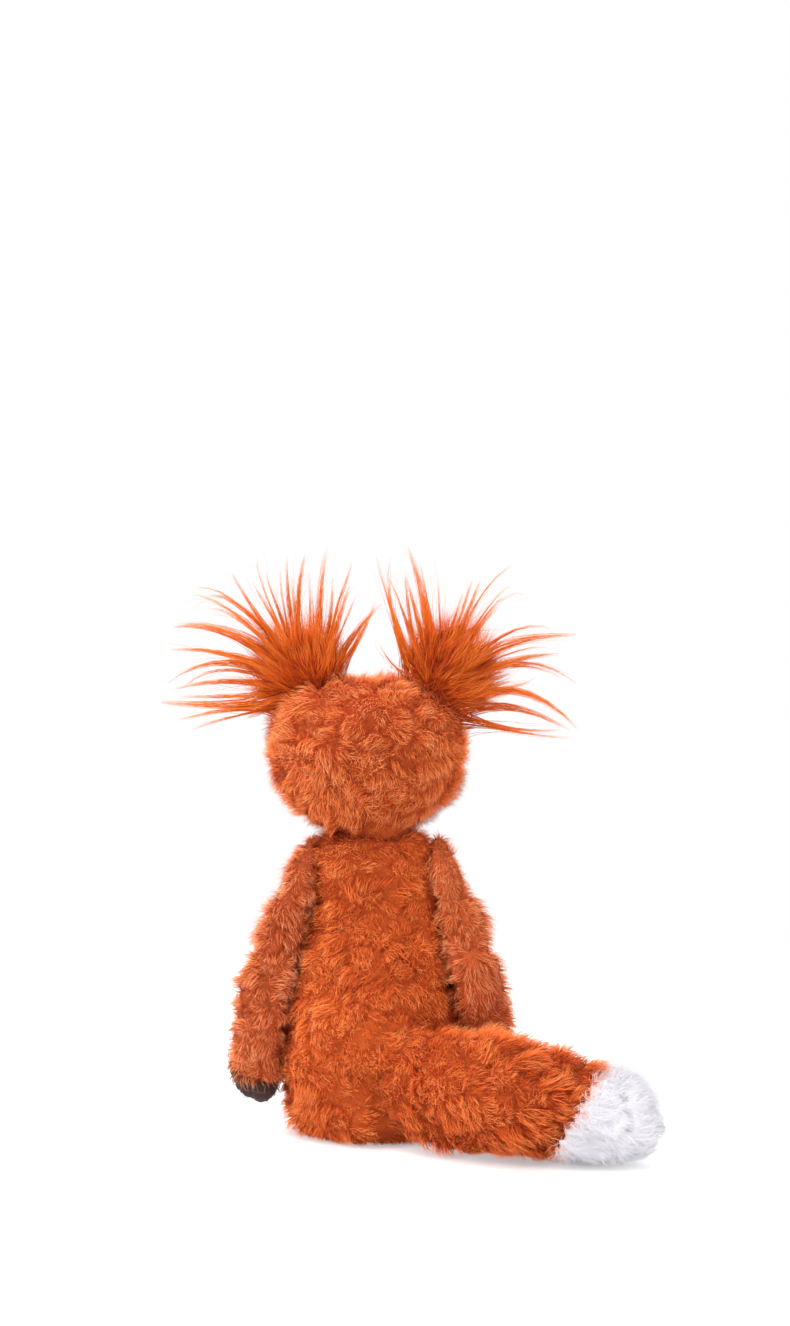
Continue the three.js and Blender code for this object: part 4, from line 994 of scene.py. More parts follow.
# A wished direction laid along the skin
def tangentFlow(normals, wish):
    wish = np.broadcast_to(np.asarray(wish, float), normals.shape)
    flow = wish - normals * (wish * normals).sum(1)[:, None]
    return flow / np.maximum(np.linalg.norm(flow, axis=1), 1e-6)[:, None]


# Uneven stuffing: slow swells in and out along the normals
def swell(points, normals, amount, size, seed):
    return points + normals * (ripple(points, size, seed) * amount * mm)[:, None]


def setPoints(piece, points):
    piece.data.vertices.foreach_set("co", points.astype(np.float32).ravel())
    piece.data.update()


# Fills out the skin where a neighbour presses on it and its pile can't stand
def pressedSkin(piece, neighbours):
    points, normals, _ = meshArrays(piece)
    room, cleft = roomFor(points, neighbours, pileSizes["pile"])
    fuller = (1 - room) / (1 - seamRoom) * (skinInset - seamInset) * mm
    points = points + normals * fuller[:, None]
    points[:, 2] = np.maximum(points[:, 2], lowest * mm)
    setPoints(piece, points)
    return points, room, cleft


furrowWidth = 0.13  # as a share of the waves that the furrows follow


# 1 along wandering lines about size apart, where the pile parts in dark furrows
def furrows(points, size, seed):
    return np.exp(-(ripple(points, size, seed) / furrowWidth) ** 2)


# Puts a finished soft piece on its body
def seatSoft(piece, body, slot, nodes):
    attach(piece, body)
    if nodes:
        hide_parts(*nodes)


# A stuffed form: one skin with its pile, and a panel of another colour for each of its caps. A neighbour
# is its search tree, the least room that it leaves, and how dark the painted shade in the cleft beside it is.
def dressed(name, parts, sizes, flowAt, neighbours, body, nodes, caps, seed):
    skin = fused(name + "_pile", parts, sizes["voxel"], sizes.get("smoothing", 6))
    points, normals, faces = meshArrays(skin)
    free = np.clip(points[:, 2] / (calmUnder * mm), 0.1, 1)[:, None]
    depth, size = sizes["furrow"]
    parted = furrows(points, size, seed + 7)
    moved = swell(points, normals, sizes["swell"], sizes["swellSize"], seed)
    moved = moved - normals * (parted * depth * mm)[:, None]
    points = points + (moved - points) * free
    if "creases" in sizes:
        points, creased = sizes["creases"](points, normals)
        parted = np.maximum(parted, creased)
    setPoints(skin, points)
    points, room, cleft = pressedSkin(skin, neighbours)
    points, normals, faces = meshArrays(skin)
    byFloor = np.clip(1.0 + np.minimum(normals[:, 2], 0) + points[:, 2] / (shortUnder * mm), 0.3, 1)
    room = np.minimum(room, byFloor) * (1 - furrowShort * parted)
    if "trim" in sizes:
        room = room * sizes["trim"](points)
    flow = tangentFlow(normals, flowAt(points))
    left = np.ones(len(points))
    pileOf = pileSizes | sizes.get("pileSizes", {})
    for index, cap in enumerate(caps):
        inside = cap["inside"](points)
        left[inside] = 0
        panel, used, outerOnly = panelOn(cap["name"], points, normals, faces, inside)
        calm = whiteSizes if cap["finish"] is whitePlush else {}
        capSizes = pileOf | calm | cap.get("pileSizes", {})
        growPile(panel, np.tile(flow[used], (2, 1)), np.tile(room[used], 2), outerOnly,
                 np.tile(cleft[used], 2), capSizes, cap["finish"], seed + 50 + index)
        seatSoft(panel, body, cap["slot"], cap["nodes"])
    outside = left.copy()
    for face in faces:  # some strands stand over the rim of the panels and hide the seam
        if outside[list(face)].any():
            left[list(face)] = 1
    setPoints(skin, points - normals * (underPanel * mm * (left == 0))[:, None])
    growPile(skin, flow, room, left, cleft, pileOf, sizes["finish"], seed)
    seatSoft(skin, body, "orange_plush" if sizes["finish"] is not earHair else "ear_hair", nodes)
    return skin


# Torso
torsoSizes = {
    "voxel": 3.0, "swell": 2.4, "swellSize": 55, "furrow": (2.0, 58), "smoothing": 8,
    "belly": (34, 138, 41), "shoulderClear": 1.0, "finish": bodyPlush,
    "rootHalf": 42, "rootTop": 105, "rootFrom": 20,  # where the pile is combed as the tail's
    "overArmFrom": (20, 125), "overArmFade": (12, 30),  # sideways and upwards
    "pileSizes": {"strands": 0.62, "lean": 0.66, "clump": 12.5, "gap": 0.8, "overlap": 0.5},
}


def inBelly(points):
    bottom, tall, wide = torsoSizes["belly"]
    share = (points[:, 2] / mm - bottom) / tall
    half = wide * columnAt(bellyTable, np.clip(share, 0, 1), 1)
    return (points[:, 1] < 0) & (share > 0) & (share < 1) & (np.abs(points[:, 0]) / mm < half)


# Downwards, over the tops of the arms, and round the root of the tail along the tail
def torsoFlow(points):
    x, y, z = points.T / mm
    sizes = torsoSizes
    byTail = np.exp(-(x / sizes["rootHalf"]) ** 2) * np.clip((sizes["rootTop"] - z) / 30, 0, 1)
    byTail = (byTail * (y > sizes["rootFrom"]))[:, None]
    (aside, above), (asideFade, aboveFade) = sizes["overArmFrom"], sizes["overArmFade"]
    byArm = np.clip((z - above) / aboveFade, 0, 1) * np.clip((np.abs(x) - aside) / asideFade, 0, 1)
    overArm = np.stack([byArm * np.sign(x), 0 * x, 0 * x], axis=1)
    return np.array([0.25, 0, -1.0]) * (1 - byTail) + np.array([-1.0, 0, -0.2]) * byTail + overArm


torsoPoints, torsoFaces = loft(torsoForm, skinInset, 72, 60)
torsoPoints[:, 2] += np.clip(torsoPoints[:, 2] / mm - 150, 0, 40) / 40 * skinInset * mm  # up to the neck
torsoPoints[:, 2] -= np.clip(1 - torsoPoints[:, 2] / mm / 40, 0, 1) * (skinInset - 1) * mm  # and to the floor
for side in (1, -1):  # flat where an arm is sewn on
    down, out, shoulder = armFrame(side)
    beyond = (torsoPoints - shoulder * mm) @ out + torsoSizes["shoulderClear"] * mm
    torsoPoints = torsoPoints - np.maximum(beyond, 0)[:, None] * out
# The head and the tail leave more room, and the cleft under the head takes the full painted shade
around = [(near[k], 0.8 if k in ("head", "tail") else seamRoom, 1.0 if k == "head" else seamShade)
          for k in near if k != "torso"]
dressed("torso", [(torsoPoints, torsoFaces)], torsoSizes, torsoFlow, around, "torso",
        ("torso_skin", "torso_filling"),
        [{"name": "belly_panel_pile", "inside": inBelly, "finish": whitePlush, "slot": "white_plush",
          "nodes": ("belly_panel",)}], 11)
print("torso ready")


# Head
headSizes = {
    "voxel": 3.0, "swell": 1.4, "swellSize": 60, "furrow": (2.0, 48), "inset": 4.2, "finish": headPlush,
    "cheekHeight": 25, "throatLine": 34, "muzzleEnd": -145, "eyeRoom": 15, "noseRoom": 40,
    "nape": (8, 27, 205), "napeReach": (36, 26, 20), "napeDrop": (0, 3, -9),
    "snout": (0, -141, 192), "snoutReach": (15, 12, 15), "snoutOut": (0, -5.5, 1),
    "pileSizes": {"clump": 12.0, "swirl": 1.3, "swirlSize": 18, "stray": 0.8, "pull": 0.3, "ruffle": 3.0,
                  "toneSpread": 0.34, "strandRadius": 0.2},
}
eyeSizes = {
    "place": (36.54, -71.85, 251.31), "out": (0.5335, -0.6639, 0.5240), "radius": 7, "height": 4.5,
    "seat": 1, "rimRound": 0.5, "shank": 1.8, "shankLength": 12, "teeth": 7, "toothDepth": 0.25,
    "sides": 48, "domeSteps": 14,
}
noseSizes = {
    "place": (0, -146, 194), "half": (11, 7, 8), "sides": 48, "rings": 36, "brow": 0.16, "chin": 0.3,
    "nostril": (4.6, -1.2, 2.6), "nostrilDepth": 2.2, "philtrum": 1.1,
    "pileSizes": {"strands": 2.6, "pile": 0.9, "strandRadius": 0.07, "lean": 0.8, "swirl": 0.3,
                  "swirlSize": 8, "clump": 1.6, "pull": 0.2, "stray": 0.5, "gap": 0.1, "ruffle": 0,
                  "toneSpread": 0.3},
}


# The white of the muzzle and the cheeks, under a line that drops towards the nose
def inFace(points):
    y, z = points[:, 1] / mm, points[:, 2] / mm
    share = (y + headSizes["throatLine"]) / (headSizes["muzzleEnd"] + headSizes["throatLine"])
    drop = sizesOf["head"]["halfHeight"] * columnAt(cheekTable, np.clip(share, -0.2, 1), 1)
    top = headMiddle - headSizes["cheekHeight"] - drop
    return (y < -headSizes["throatLine"]) & (z < top)


def headFlow(points):
    toBack = np.clip((points[:, 1] / mm + 20) / 50, 0, 1)[:, None]
    face = np.array([[0, 1.0, 0.25]])
    nape = np.array([[0.3, 0.2, -0.8]])
    return face * (1 - toBack) + nape * toBack


# Shorter pile round the eyes and the nose
def faceTrim(points):
    trim = np.ones(len(points))
    eye, nose = np.array(eyeSizes["place"]), np.array(noseSizes["place"])
    spots = [(eye * np.array([side, 1, 1]), 7, headSizes["eyeRoom"]) for side in (1, -1)]
    spots.append((nose, 10, headSizes["noseRoom"]))
    for spot, start, room in spots:
        away = np.linalg.norm(points / mm - spot, axis=1)
        trim = np.minimum(trim, np.clip(0.3 + 0.7 * (away - start) / room, 0.3, 1))
    return trim


# The nape hangs over the neck, and the end of the muzzle swells out to the nose
def bulges(points, normals):
    moved = points.copy()
    for place, reach, move in (("nape", "napeReach", "napeDrop"), ("snout", "snoutReach", "snoutOut")):
        away = (points / mm - np.array(headSizes[place])) / np.array(headSizes[reach])
        share = np.exp(-(away ** 2).sum(1))
        moved += share[:, None] * np.array(headSizes[move]) * mm
    return moved, np.zeros(len(points))


headSizes["trim"] = faceTrim
headSizes["creases"] = bulges
headPoints, headFaces = loft(headForm, headSizes["inset"], 72, 60)
# By the torso and the arms, the head's pile takes the full painted shade in the cleft
dressed("head", [(headPoints, headFaces)], headSizes, headFlow,
        [(near[k], 0.8, 1.0) for k in ("torso", "leftArm", "rightArm")], "head",
        ("head_skin", "head_filling"),
        [{"name": "muzzle_panel_pile", "inside": inFace, "finish": whitePlush, "slot": "white_plush",
          "nodes": ("muzzle_panel",)}], 31)
print("head ready")


# Neck
neckSizes = {
    "radius": 22, "voxel": 3.0, "swell": 0.5, "swellSize": 30, "furrow": (0, 30), "finish": bodyPlush,
    "pileSizes": {"strands": 0.4, "pile": 8.0, "clump": 8.0, "ruffle": 1.0},
}
ball = np.linspace(0, 1, 5)
ballTable = np.stack([ball, ball * 0 + 1, ball * 0 + 1, ball * 0, ball * 0], axis=1)
neckForm = {
    "table": ballTable, "length": 2 * neckSizes["radius"], "halfWidth": neckSizes["radius"],
    "halfDepth": neckSizes["radius"], "rounds": (0.5, 0.5),
    "place": lambda along, across, deep: np.stack(
        [across, deep, neckMiddle - neckSizes["radius"] + along], axis=1),
}
neckPoints, neckFaces = loft(neckForm, 0, 40, 30)
# The neck's pile takes the full painted shade in the clefts by the torso and the head
dressed("neck", [(neckPoints, neckFaces)], neckSizes, lambda points: np.array([0, 0, 1.0]) + 0 * points,
        [(near["torso"], seamRoom, 1.0), (near["head"], seamRoom, 1.0)], "neck",
        ("neck_skin", "neck_filling"), [], 41)


# A rounded triangle with two nostrils and the crease under them
def noseSkin():
    sizes = noseSizes
    middle, half = np.array(sizes["place"]), np.array(sizes["half"]) - 0.6
    form = {"table": ballTable, "length": 2.0, "halfWidth": 1.0, "halfDepth": 1.0, "rounds": (0.5, 0.5),
            "place": lambda along, across, deep: np.stack([across, 1 - along, deep], axis=1)}
    points, faces = loft(form, 0, sizes["sides"], sizes["rings"])
    points = points / mm
    high = points[:, 2]
    points[:, 0] *= 1 + sizes["brow"] * high - sizes["chin"] * np.maximum(-high, 0) ** 2
    points[:, 2] *= np.where(high > 0, 0.9, 1.0)
    points = points * half
    away, up, reach = sizes["nostril"]
    front = np.clip(-points[:, 1] / half[1], 0, 1)
    for side in (1, -1):
        aside, above = points[:, 0] - side * away, points[:, 2] - up - 0.25 * np.abs(points[:, 0])
        points[:, 1] += sizes["nostrilDepth"] * np.exp(-((aside / 1.3) ** 2 + above ** 2) / reach) * front
    crease = np.exp(-(points[:, 0] / 0.9) ** 2) * np.clip(-points[:, 2] / 4, 0, 1)
    points[:, 1] += sizes["philtrum"] * crease * front
    return (points + middle) * mm, faces


nose = meshObject("nose_velvet_pile", *noseSkin())
points, normals, faces = meshArrays(nose)
full = np.ones(len(points))
growPile(nose, tangentFlow(normals, (0, 1.0, -0.4)), full, full, 0 * full,
         pileSizes | noseSizes["pileSizes"], noseVelvet, 43)
seatSoft(nose, "head", "nose_velvet", ("nose",))


# Eyes. A turned solid about out, from rows of radius and height, with its UV map round and along it
def turned(name, middle, out, rows, sides):
    axis = Vector(out).normalized()
    across = axis.orthogonal().normalized()
    other = axis.cross(across)
    count = len(rows) - 2

    def at(radius, height, angle):
        spot = Vector(middle) + axis * height + across * radius * math.cos(angle)
        return tuple((spot + other * radius * math.sin(angle)) * mm)

    points = [at(0, rows[0][1], 0)]
    points += [at(radius, height, 2 * math.pi * i / sides)
               for radius, height in rows[1:-1] for i in range(sides)]
    points.append(at(0, rows[-1][1], 0))
    spot = lambda ring, i: 1 + ring * sides + i % sides
    faces = []
    for i in range(sides):
        faces.append((0, spot(0, i + 1), spot(0, i)))
        faces.append((len(points) - 1, spot(count - 1, i), spot(count - 1, i + 1)))
        faces += [(spot(ring, i), spot(ring, i + 1), spot(ring + 1, i + 1), spot(ring + 1, i))
                  for ring in range(count - 1)]
    points, faces = outwards(np.array(points), faces)
    piece = meshObject(name, points, faces)
    mapRound(piece, sides)
    return piece


# From the top of the dome over the rim and down the toothed shank
def eyeRows():
    sizes = eyeSizes
    rows = []
    for step in range(sizes["domeSteps"] + 1):
        angle = math.pi / 2 * step / sizes["domeSteps"]
        rows.append((sizes["radius"] * math.sin(angle), sizes["height"] * math.cos(angle) - sizes["seat"]))
    rows.append((sizes["radius"] - 0.15, -sizes["seat"] - sizes["rimRound"] * 0.7))
    rows.append((sizes["radius"] - sizes["rimRound"], -sizes["seat"] - sizes["rimRound"]))
    rows.append((sizes["shank"] + 0.4, -sizes["seat"] - sizes["rimRound"]))
    start = -sizes["seat"] - sizes["rimRound"] - 0.5
    pitch = (sizes["shankLength"] + start - 0.4) / sizes["teeth"]
    for tooth in range(sizes["teeth"]):
        top = start - tooth * pitch
        rows += [(sizes["shank"] - sizes["toothDepth"], top), (sizes["shank"], top - 0.7 * pitch)]
    rows += [(sizes["shank"] - 0.4, -sizes["shankLength"]), (0, -sizes["shankLength"])]
    return rows


for side, hand in ((1, "left"), (-1, "right")):
    flip = np.array([side, 1, 1])
    eye = turned(hand + "_eye_dome", np.array(eyeSizes["place"]) * flip, np.array(eyeSizes["out"]) * flip,
                 eyeRows(), eyeSizes["sides"])
    eye.data.materials.append(eyePlastic)
    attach(eye, "head")
    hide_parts(hand + "_eye")
print("face ready")


# Arms. The folds give a place below the shoulder, a depth and a width.
armSizes = {
    "inset": 2.0, "voxel": 2.4, "swell": 1.4, "swellSize": 34, "furrow": (2.0, 40), "finish": limbPlush,
    "folds": ((25, 2.5, 5), (64, 2.5, 5), (99, 3.0, 5), (126, 1.5, 4)), "overSeam": 45,
    "pileSizes": {"clump": 10.0, "pile": 9.2, "gap": 0.8, "toneSpread": 0.52},
}


# Slanting folds on the outer side of an arm
def armFolds(side):
    down, out, shoulder = armFrame(side)

    def fold(points, normals):
        along = (points - shoulder * mm) @ down / mm
        outward = np.clip(normals @ out + 0.4, 0, 1)
        depth, creased = np.zeros(len(points)), np.zeros(len(points))
        for place, deep, wide in armSizes["folds"]:
            slant = place + 5 * np.sin(points[:, 1] / mm / 9 + place)
            fall = np.exp(-((along - slant) / wide) ** 2) * outward
            depth += deep * fall
            creased = np.maximum(creased, fall)
        return points - normals * (depth * mm)[:, None], creased
    return fold


for side, hand, seed in ((1, "left", 51), (-1, "right", 61)):
    down, out, shoulder = armFrame(side)
    armPoints, armFaces = loft(armForm(side), armSizes["inset"], 48, 50)
    inward = -((armPoints - shoulder * mm) @ out) + 0.5 * mm
    armPoints = armPoints + np.maximum(inward, 0)[:, None] * out
    form = sizesOf["arm"]
    slant = math.radians(form["pawSlant"])
    capDown = np.array([down[0], math.sin(slant) * down[2], down[2] * math.cos(slant)])
    capDown /= np.linalg.norm(capDown)
    capSeam = shoulder + down * (form["length"] - form["crown"] - form["paw"] - form["pawRise"])
    inCap = lambda points, capSeam=capSeam, capDown=capDown: (points / mm - capSeam) @ capDown > 0
    sizes = armSizes | {"creases": armFolds(side)}

    def armFlow(points, down=down, out=out, shoulder=shoulder):  # down, and at the shoulder over the seam
        along = (points / mm - shoulder) @ down
        return down - out * np.clip(1 - along / armSizes["overSeam"], 0, 1)[:, None]

    around = [(near["torso"], seamRoom, seamShade), (near["head"], 0.9, 0.5),
              (near["tail"], seamRoom, seamShade)]
    dressed(hand + "_arm", [(armPoints, armFaces)], sizes, armFlow, around, hand + "_arm",
            (hand + "_arm_skin", hand + "_arm_filling"),
            [{"name": hand + "_paw_pile", "inside": inCap, "finish": brownPlush, "slot": "brown_plush",
              "nodes": (hand + "_paw_cap",), "pileSizes": {"strands": 0.55, "pile": 8.0}}], seed)
print("arms ready")


# Legs
legSizes = {
    "voxel": 2.8, "swell": 1.0, "swellSize": 36, "furrow": (0.8, 45), "smoothing": 8, "finish": limbPlush,
    "pileSizes": {"strands": 0.6, "clump": 10.5},
    "solePile": {"strands": 0.55, "pile": 7.0, "ruffle": 1.2, "gap": 0.3},
}
soleSeam = sizesOf["leg"]["hip"][0] - sizesOf["leg"]["reach"] + sizesOf["leg"]["sole"]
for side, hand, seed in ((1, "left", 71), (-1, "right", 81)):
    parts = [loft(form, skinInset, 40, 30) for form in legForms(side)]
    other = "right" if side > 0 else "left"
    around = [(near[k], seamRoom, seamShade) for k in ("torso", other + "Leg1", other + "Leg2")]
    dressed(hand + "_leg", parts, legSizes,
            lambda points: np.array([0, -1.0, -0.15]) + 0 * points, around, hand + "_leg",
            (hand + "_leg_skin", hand + "_leg_filling"),
            [{"name": hand + "_sole_pile", "inside": lambda points: points[:, 1] / mm < soleSeam,
              "finish": brownPlush, "slot": "brown_plush", "nodes": (hand + "_sole",),
              "pileSizes": legSizes["solePile"]}], seed)
print("legs ready")


# Tail
tailSizes = {
    "voxel": 3.0, "swell": 2.2, "swellSize": 45, "furrow": (3.0, 52), "finish": bodyPlush,
    "tipStart": 116, "tipSlant": 0.55,
    "pileSizes": {"pile": 10.6, "lean": 0.8, "clump": 13.0, "swirl": 0.75},
}
tailAngle = math.radians(sizesOf["tail"]["restAngle"])
tailAlong = np.array([-math.sin(tailAngle), math.cos(tailAngle), 0])
tailHinge = np.array([0, sizesOf["tail"]["hinge"][1], sizesOf["tail"]["middle"]])


# The seam of the tip slants, further along at the top
def inTip(points):
    along = (points / mm - tailHinge) @ tailAlong
    return along - tailSizes["tipSlant"] * (points[:, 2] / mm - 5) > tailSizes["tipStart"]


tailPoints, tailFaces = loft(tailForm(), skinInset, 56, 50)
dressed("tail", [(tailPoints, tailFaces)], tailSizes, lambda points: tailAlong + 0 * points,
        [(near["torso"], 0.85, seamShade), (near["rightArm"], seamRoom, seamShade),
         (near["rightLeg0"], seamRoom, seamShade)], "tail", ("tail_skin", "tail_filling"),
        [{"name": "tail_tip_pile", "inside": inTip, "finish": whitePlush, "slot": "white_plush",
          "nodes": ("tail_tip",), "pileSizes": {"pile": 9.0, "lean": 0.9}}], 91)
print("tail ready")


# Bag of pellets in the seat
bagSizes = {
    "height": 28, "halfWidth": 38, "halfDepth": 24, "base": 5.35, "middle": 13, "sides": 180, "rings": 72,
    "pellet": 4.6, "pelletShift": 0.7, "pelletShare": 0.62, "pelletBump": 0.7, "sag": 1.4, "sagSize": 26,
    "seamHeight": 0.46, "flange": 2.6, "flangeHalf": 1.3, "pucker": 0.5, "puckers": 46, "puckerAt": 2.2,
    "stitches": 62, "stitch": 0.35, "stitchAt": 0.9, "stitchHalf": 0.3,
}
bagTable = np.array([
    [0.0, 0.94, 0.94, 0, 0],
    [0.25, 1.06, 1.06, 0, 0],
    [0.5, 1.04, 1.04, 0, 0],
    [0.75, 1.0, 1.0, 0, 0],
    [1.0, 0.98, 0.98, 0, 0],
])
pelletMix = np.array([[12.9, 7.1, 3.7], [78.2, 39.4, 11.2], [37.7, 94.6, 53.1]])  # scatters the pellets


# How far points lie from the nearest pellet, one pellet in each cell of a shaken grid
def fromPellets(points):
    pellet = bagSizes["pellet"]
    cells = np.round(points / mm / pellet)
    nearest = np.full(len(points), 9.0)
    for shift in np.ndindex(3, 3, 3):
        cell = cells + np.array(shift) - 1
        shake = np.abs(np.sin(cell @ pelletMix) * 437.5) % 1
        spot = (cell + (shake - 0.5) * bagSizes["pelletShift"]) * pellet
        nearest = np.minimum(nearest, np.linalg.norm(points / mm - spot, axis=1))
    return nearest / (pellet * bagSizes["pelletShare"])


# A sewn pouch, fuller low down, with its flange round the middle and pellets pressing out
def bagSkin():
    sizes = bagSizes
    form = {"table": bagTable, "length": sizes["height"], "halfWidth": sizes["halfWidth"],
            "halfDepth": sizes["halfDepth"], "rounds": (0.4, 0.5),
            "place": lambda along, across, deep: np.stack(
                [across, sizes["middle"] + deep, sizes["base"] + along], axis=1)}
    points, faces = loft(form, 0, sizes["sides"], sizes["rings"])
    piece = meshObject("seat_pellet_bag_cloth", points, faces)
    points, normals, faces = meshArrays(piece)
    seam = sizes["base"] + sizes["height"] * sizes["seamHeight"]
    offset = points / mm - np.array([0, sizes["middle"], seam])
    turn = np.arctan2(offset[:, 1] / sizes["halfDepth"], offset[:, 0] / sizes["halfWidth"])
    fromSeam = np.abs(offset[:, 2])
    byPellets = np.clip(1 - fromPellets(points) ** 2, 0, 1) * np.clip(fromSeam / 5 - 0.4, 0, 1)
    flange = np.exp(-(fromSeam / sizes["flangeHalf"]) ** 4)
    puckers = np.sin(turn * sizes["puckers"] + 2 * np.sin(turn * 5))
    puckers = puckers * np.exp(-(fromSeam - sizes["puckerAt"]) ** 2 / 14) * (1 - flange)
    stitches = np.clip(np.sin(turn * sizes["stitches"]) * 3, 0, 1)
    stitches = stitches * np.exp(-((fromSeam - sizes["stitchAt"]) / sizes["stitchHalf"]) ** 2)
    sag = np.maximum(ripple(points, sizes["sagSize"], 122), 0) * (1 - flange)
    out = (byPellets * sizes["pelletBump"] + flange * sizes["flange"] + puckers * sizes["pucker"]
           + stitches * sizes["stitch"] + sag * sizes["sag"])
    points = points + normals * (out * mm)[:, None]
    points[:, 2] = np.maximum(points[:, 2], (sizes["base"] - 0.6) * mm)
    setPoints(piece, points)
    mapRound(piece, sizes["sides"])
    return piece


bag = bagSkin()
bag.data.materials.append(bagCloth)
seatSoft(bag, "torso", "bag_cloth", ("seat_pellet_bag",))
print("bag ready")


# Ears: short pile on the leaf, and long hair that fans out from it
lockShares = {
    "half": 0.62, "rootEnds": 0.45, "narrowPower": 1.6, "narrow": 0.85, "thin": 0.88, "lengthPower": 0.8,
    "waveSize": 45.0, "waveShift": 0.01, "waveGain": 4.0, "lockTone": 0.55, "hairTone": 0.45,
    "mapEdge": 0.03, "mapFoot": 0.02, "mapTop": 0.95, "mapWidth": 0.006,
}


# Each guide line becomes a lock of hairs, which start spread out and meet towards the end
def hairTree():
    shares = lockShares
    tree = bpy.data.node_groups.new("hair", "GeometryNodeTree")
    treeInputs(tree, [
        ("Guides", "geometry", None), ("Hairs per width", "share", 9000), ("Hair radius", "length", 0.0002),
        ("Root spread", "length", 0.008), ("Wave", "length", 0.002),
        ("Shortest", "share", 0.6), ("Seed", "count", 1), ("Finish", "material", None),
    ])
    put = putter(tree)
    number, plus, minus, times = numberKit(put)
    _, scaled, added, _ = vectorKit(put)
    joined, _, centred = partKit(put)
    named, keep = attributeKit(put)
    given = put("NodeGroupInput").outputs
    lines = outOf(put("GeometryNodeMeshToCurve", {"Mesh": given["Guides"]}))
    hairCount = plus(times(named("lockWidth"), given["Hairs per width"]), 1.5)
    lines = outOf(put("GeometryNodeDuplicateElements", {"Geometry": lines, "Amount": hairCount},
                      domain="SPLINE"), "Geometry")
    index = outOf(put("GeometryNodeInputIndex"))

    def chance(kind, low, high, shift):
        inputs = {"Min": low, "Max": high, "ID": index, "Seed": plus(given["Seed"], shift)}
        return outOf(put("FunctionNodeRandomValue", inputs, data_type=kind))

    for name, kind, low, high, shift in (
            ("spread", "FLOAT_VECTOR", (-1, -1, -1), (1, 1, 1), 1),
            ("scatter", "FLOAT_VECTOR", (-1, -1, -1), (1, 1, 1), 2),
            ("lengthOf", "FLOAT", 0.0, 1.0, 3), ("hairTone", "FLOAT", 0.0, 1.0, 4)):
        lines = keep(lines, name, kind, chance(kind, low, high, shift), "CURVE")
    uneven = number("POWER", named("lengthOf"), shares["lengthPower"])
    lengthOf = plus(given["Shortest"], times(minus(1.0, given["Shortest"]), uneven))
    lines = outOf(put("GeometryNodeTrimCurve", {"Curve": lines, "Start": 0.0, "End": lengthOf},
                      mode="FACTOR"))

    # Spread at the root, together in the middle and narrow at the end, with a wave of its own
    share = outOf(put("GeometryNodeSplineParameter"), "Factor")
    atRoot = number("SUBTRACT", 1.0, number("DIVIDE", share, shares["rootEnds"]), clamp=True)
    half = times(named("lockWidth"), shares["half"])
    extra = times(minus(given["Root spread"], half), times(atRoot, atRoot))
    narrow = minus(1.0, times(number("POWER", share, shares["narrowPower"]), shares["narrow"]))
    radius = times(plus(half, extra), narrow)
    spot = added(outOf(put("GeometryNodeInputPosition")),
                 scaled(named("scatter", "FLOAT_VECTOR"), shares["waveShift"]))
    noise = put("ShaderNodeTexNoise", {"Vector": spot, "Scale": shares["waveSize"], "Detail": 1.0})
    wave = scaled(centred(outOf(noise, "Color")), times(given["Wave"], times(share, shares["waveGain"])))
    offset = added(scaled(named("spread", "FLOAT_VECTOR"), radius), wave)
    lines = outOf(put("GeometryNodeSetPosition", {"Geometry": lines, "Offset": offset}))
    lines = keep(lines, "hairPlace", "FLOAT", share, "POINT")
    lockTone = times(named("lockTone"), shares["lockTone"])
    toneHere = plus(lockTone, times(named("hairTone"), shares["hairTone"]))
    lines = keep(lines, "toneHere", "FLOAT", toneHere, "POINT")

    # Each line becomes a tapered hair of three sides
    thin = times(given["Hair radius"], minus(1.0, times(share, shares["thin"])))
    lines = outOf(put("GeometryNodeSetCurveRadius", {"Curve": lines, "Radius": thin}))
    ring = outOf(put("GeometryNodeCurvePrimitiveCircle", {"Resolution": 3, "Radius": 1.0}), "Curve")
    hairs = outOf(put("GeometryNodeCurveToMesh", {
        "Curve": lines, "Profile Curve": ring, "Scale": outOf(put("GeometryNodeInputRadius")),
        "Fill Caps": True}))
    normalX, normalY, _ = put("ShaderNodeSeparateXYZ", {0: outOf(put("GeometryNodeInputNormal"))}).outputs
    tone = plus(shares["mapEdge"], times(named("toneHere"), 1 - 2 * shares["mapEdge"]))
    tone = plus(tone, times(normalX, shares["mapWidth"]))
    height = plus(shares["mapFoot"], times(named("hairPlace"), shares["mapTop"]))
    height = plus(height, times(normalY, shares["mapWidth"]))
    hairs = keep(hairs, bakeMap, "FLOAT2", joined(tone, height), "CORNER")
    spent = ("spread", "scatter", "lengthOf", "hairTone", "hairPlace", "toneHere", "lockTone", "lockWidth")
    endTree(tree, put, hairs, spent, given["Finish"])
    return tree


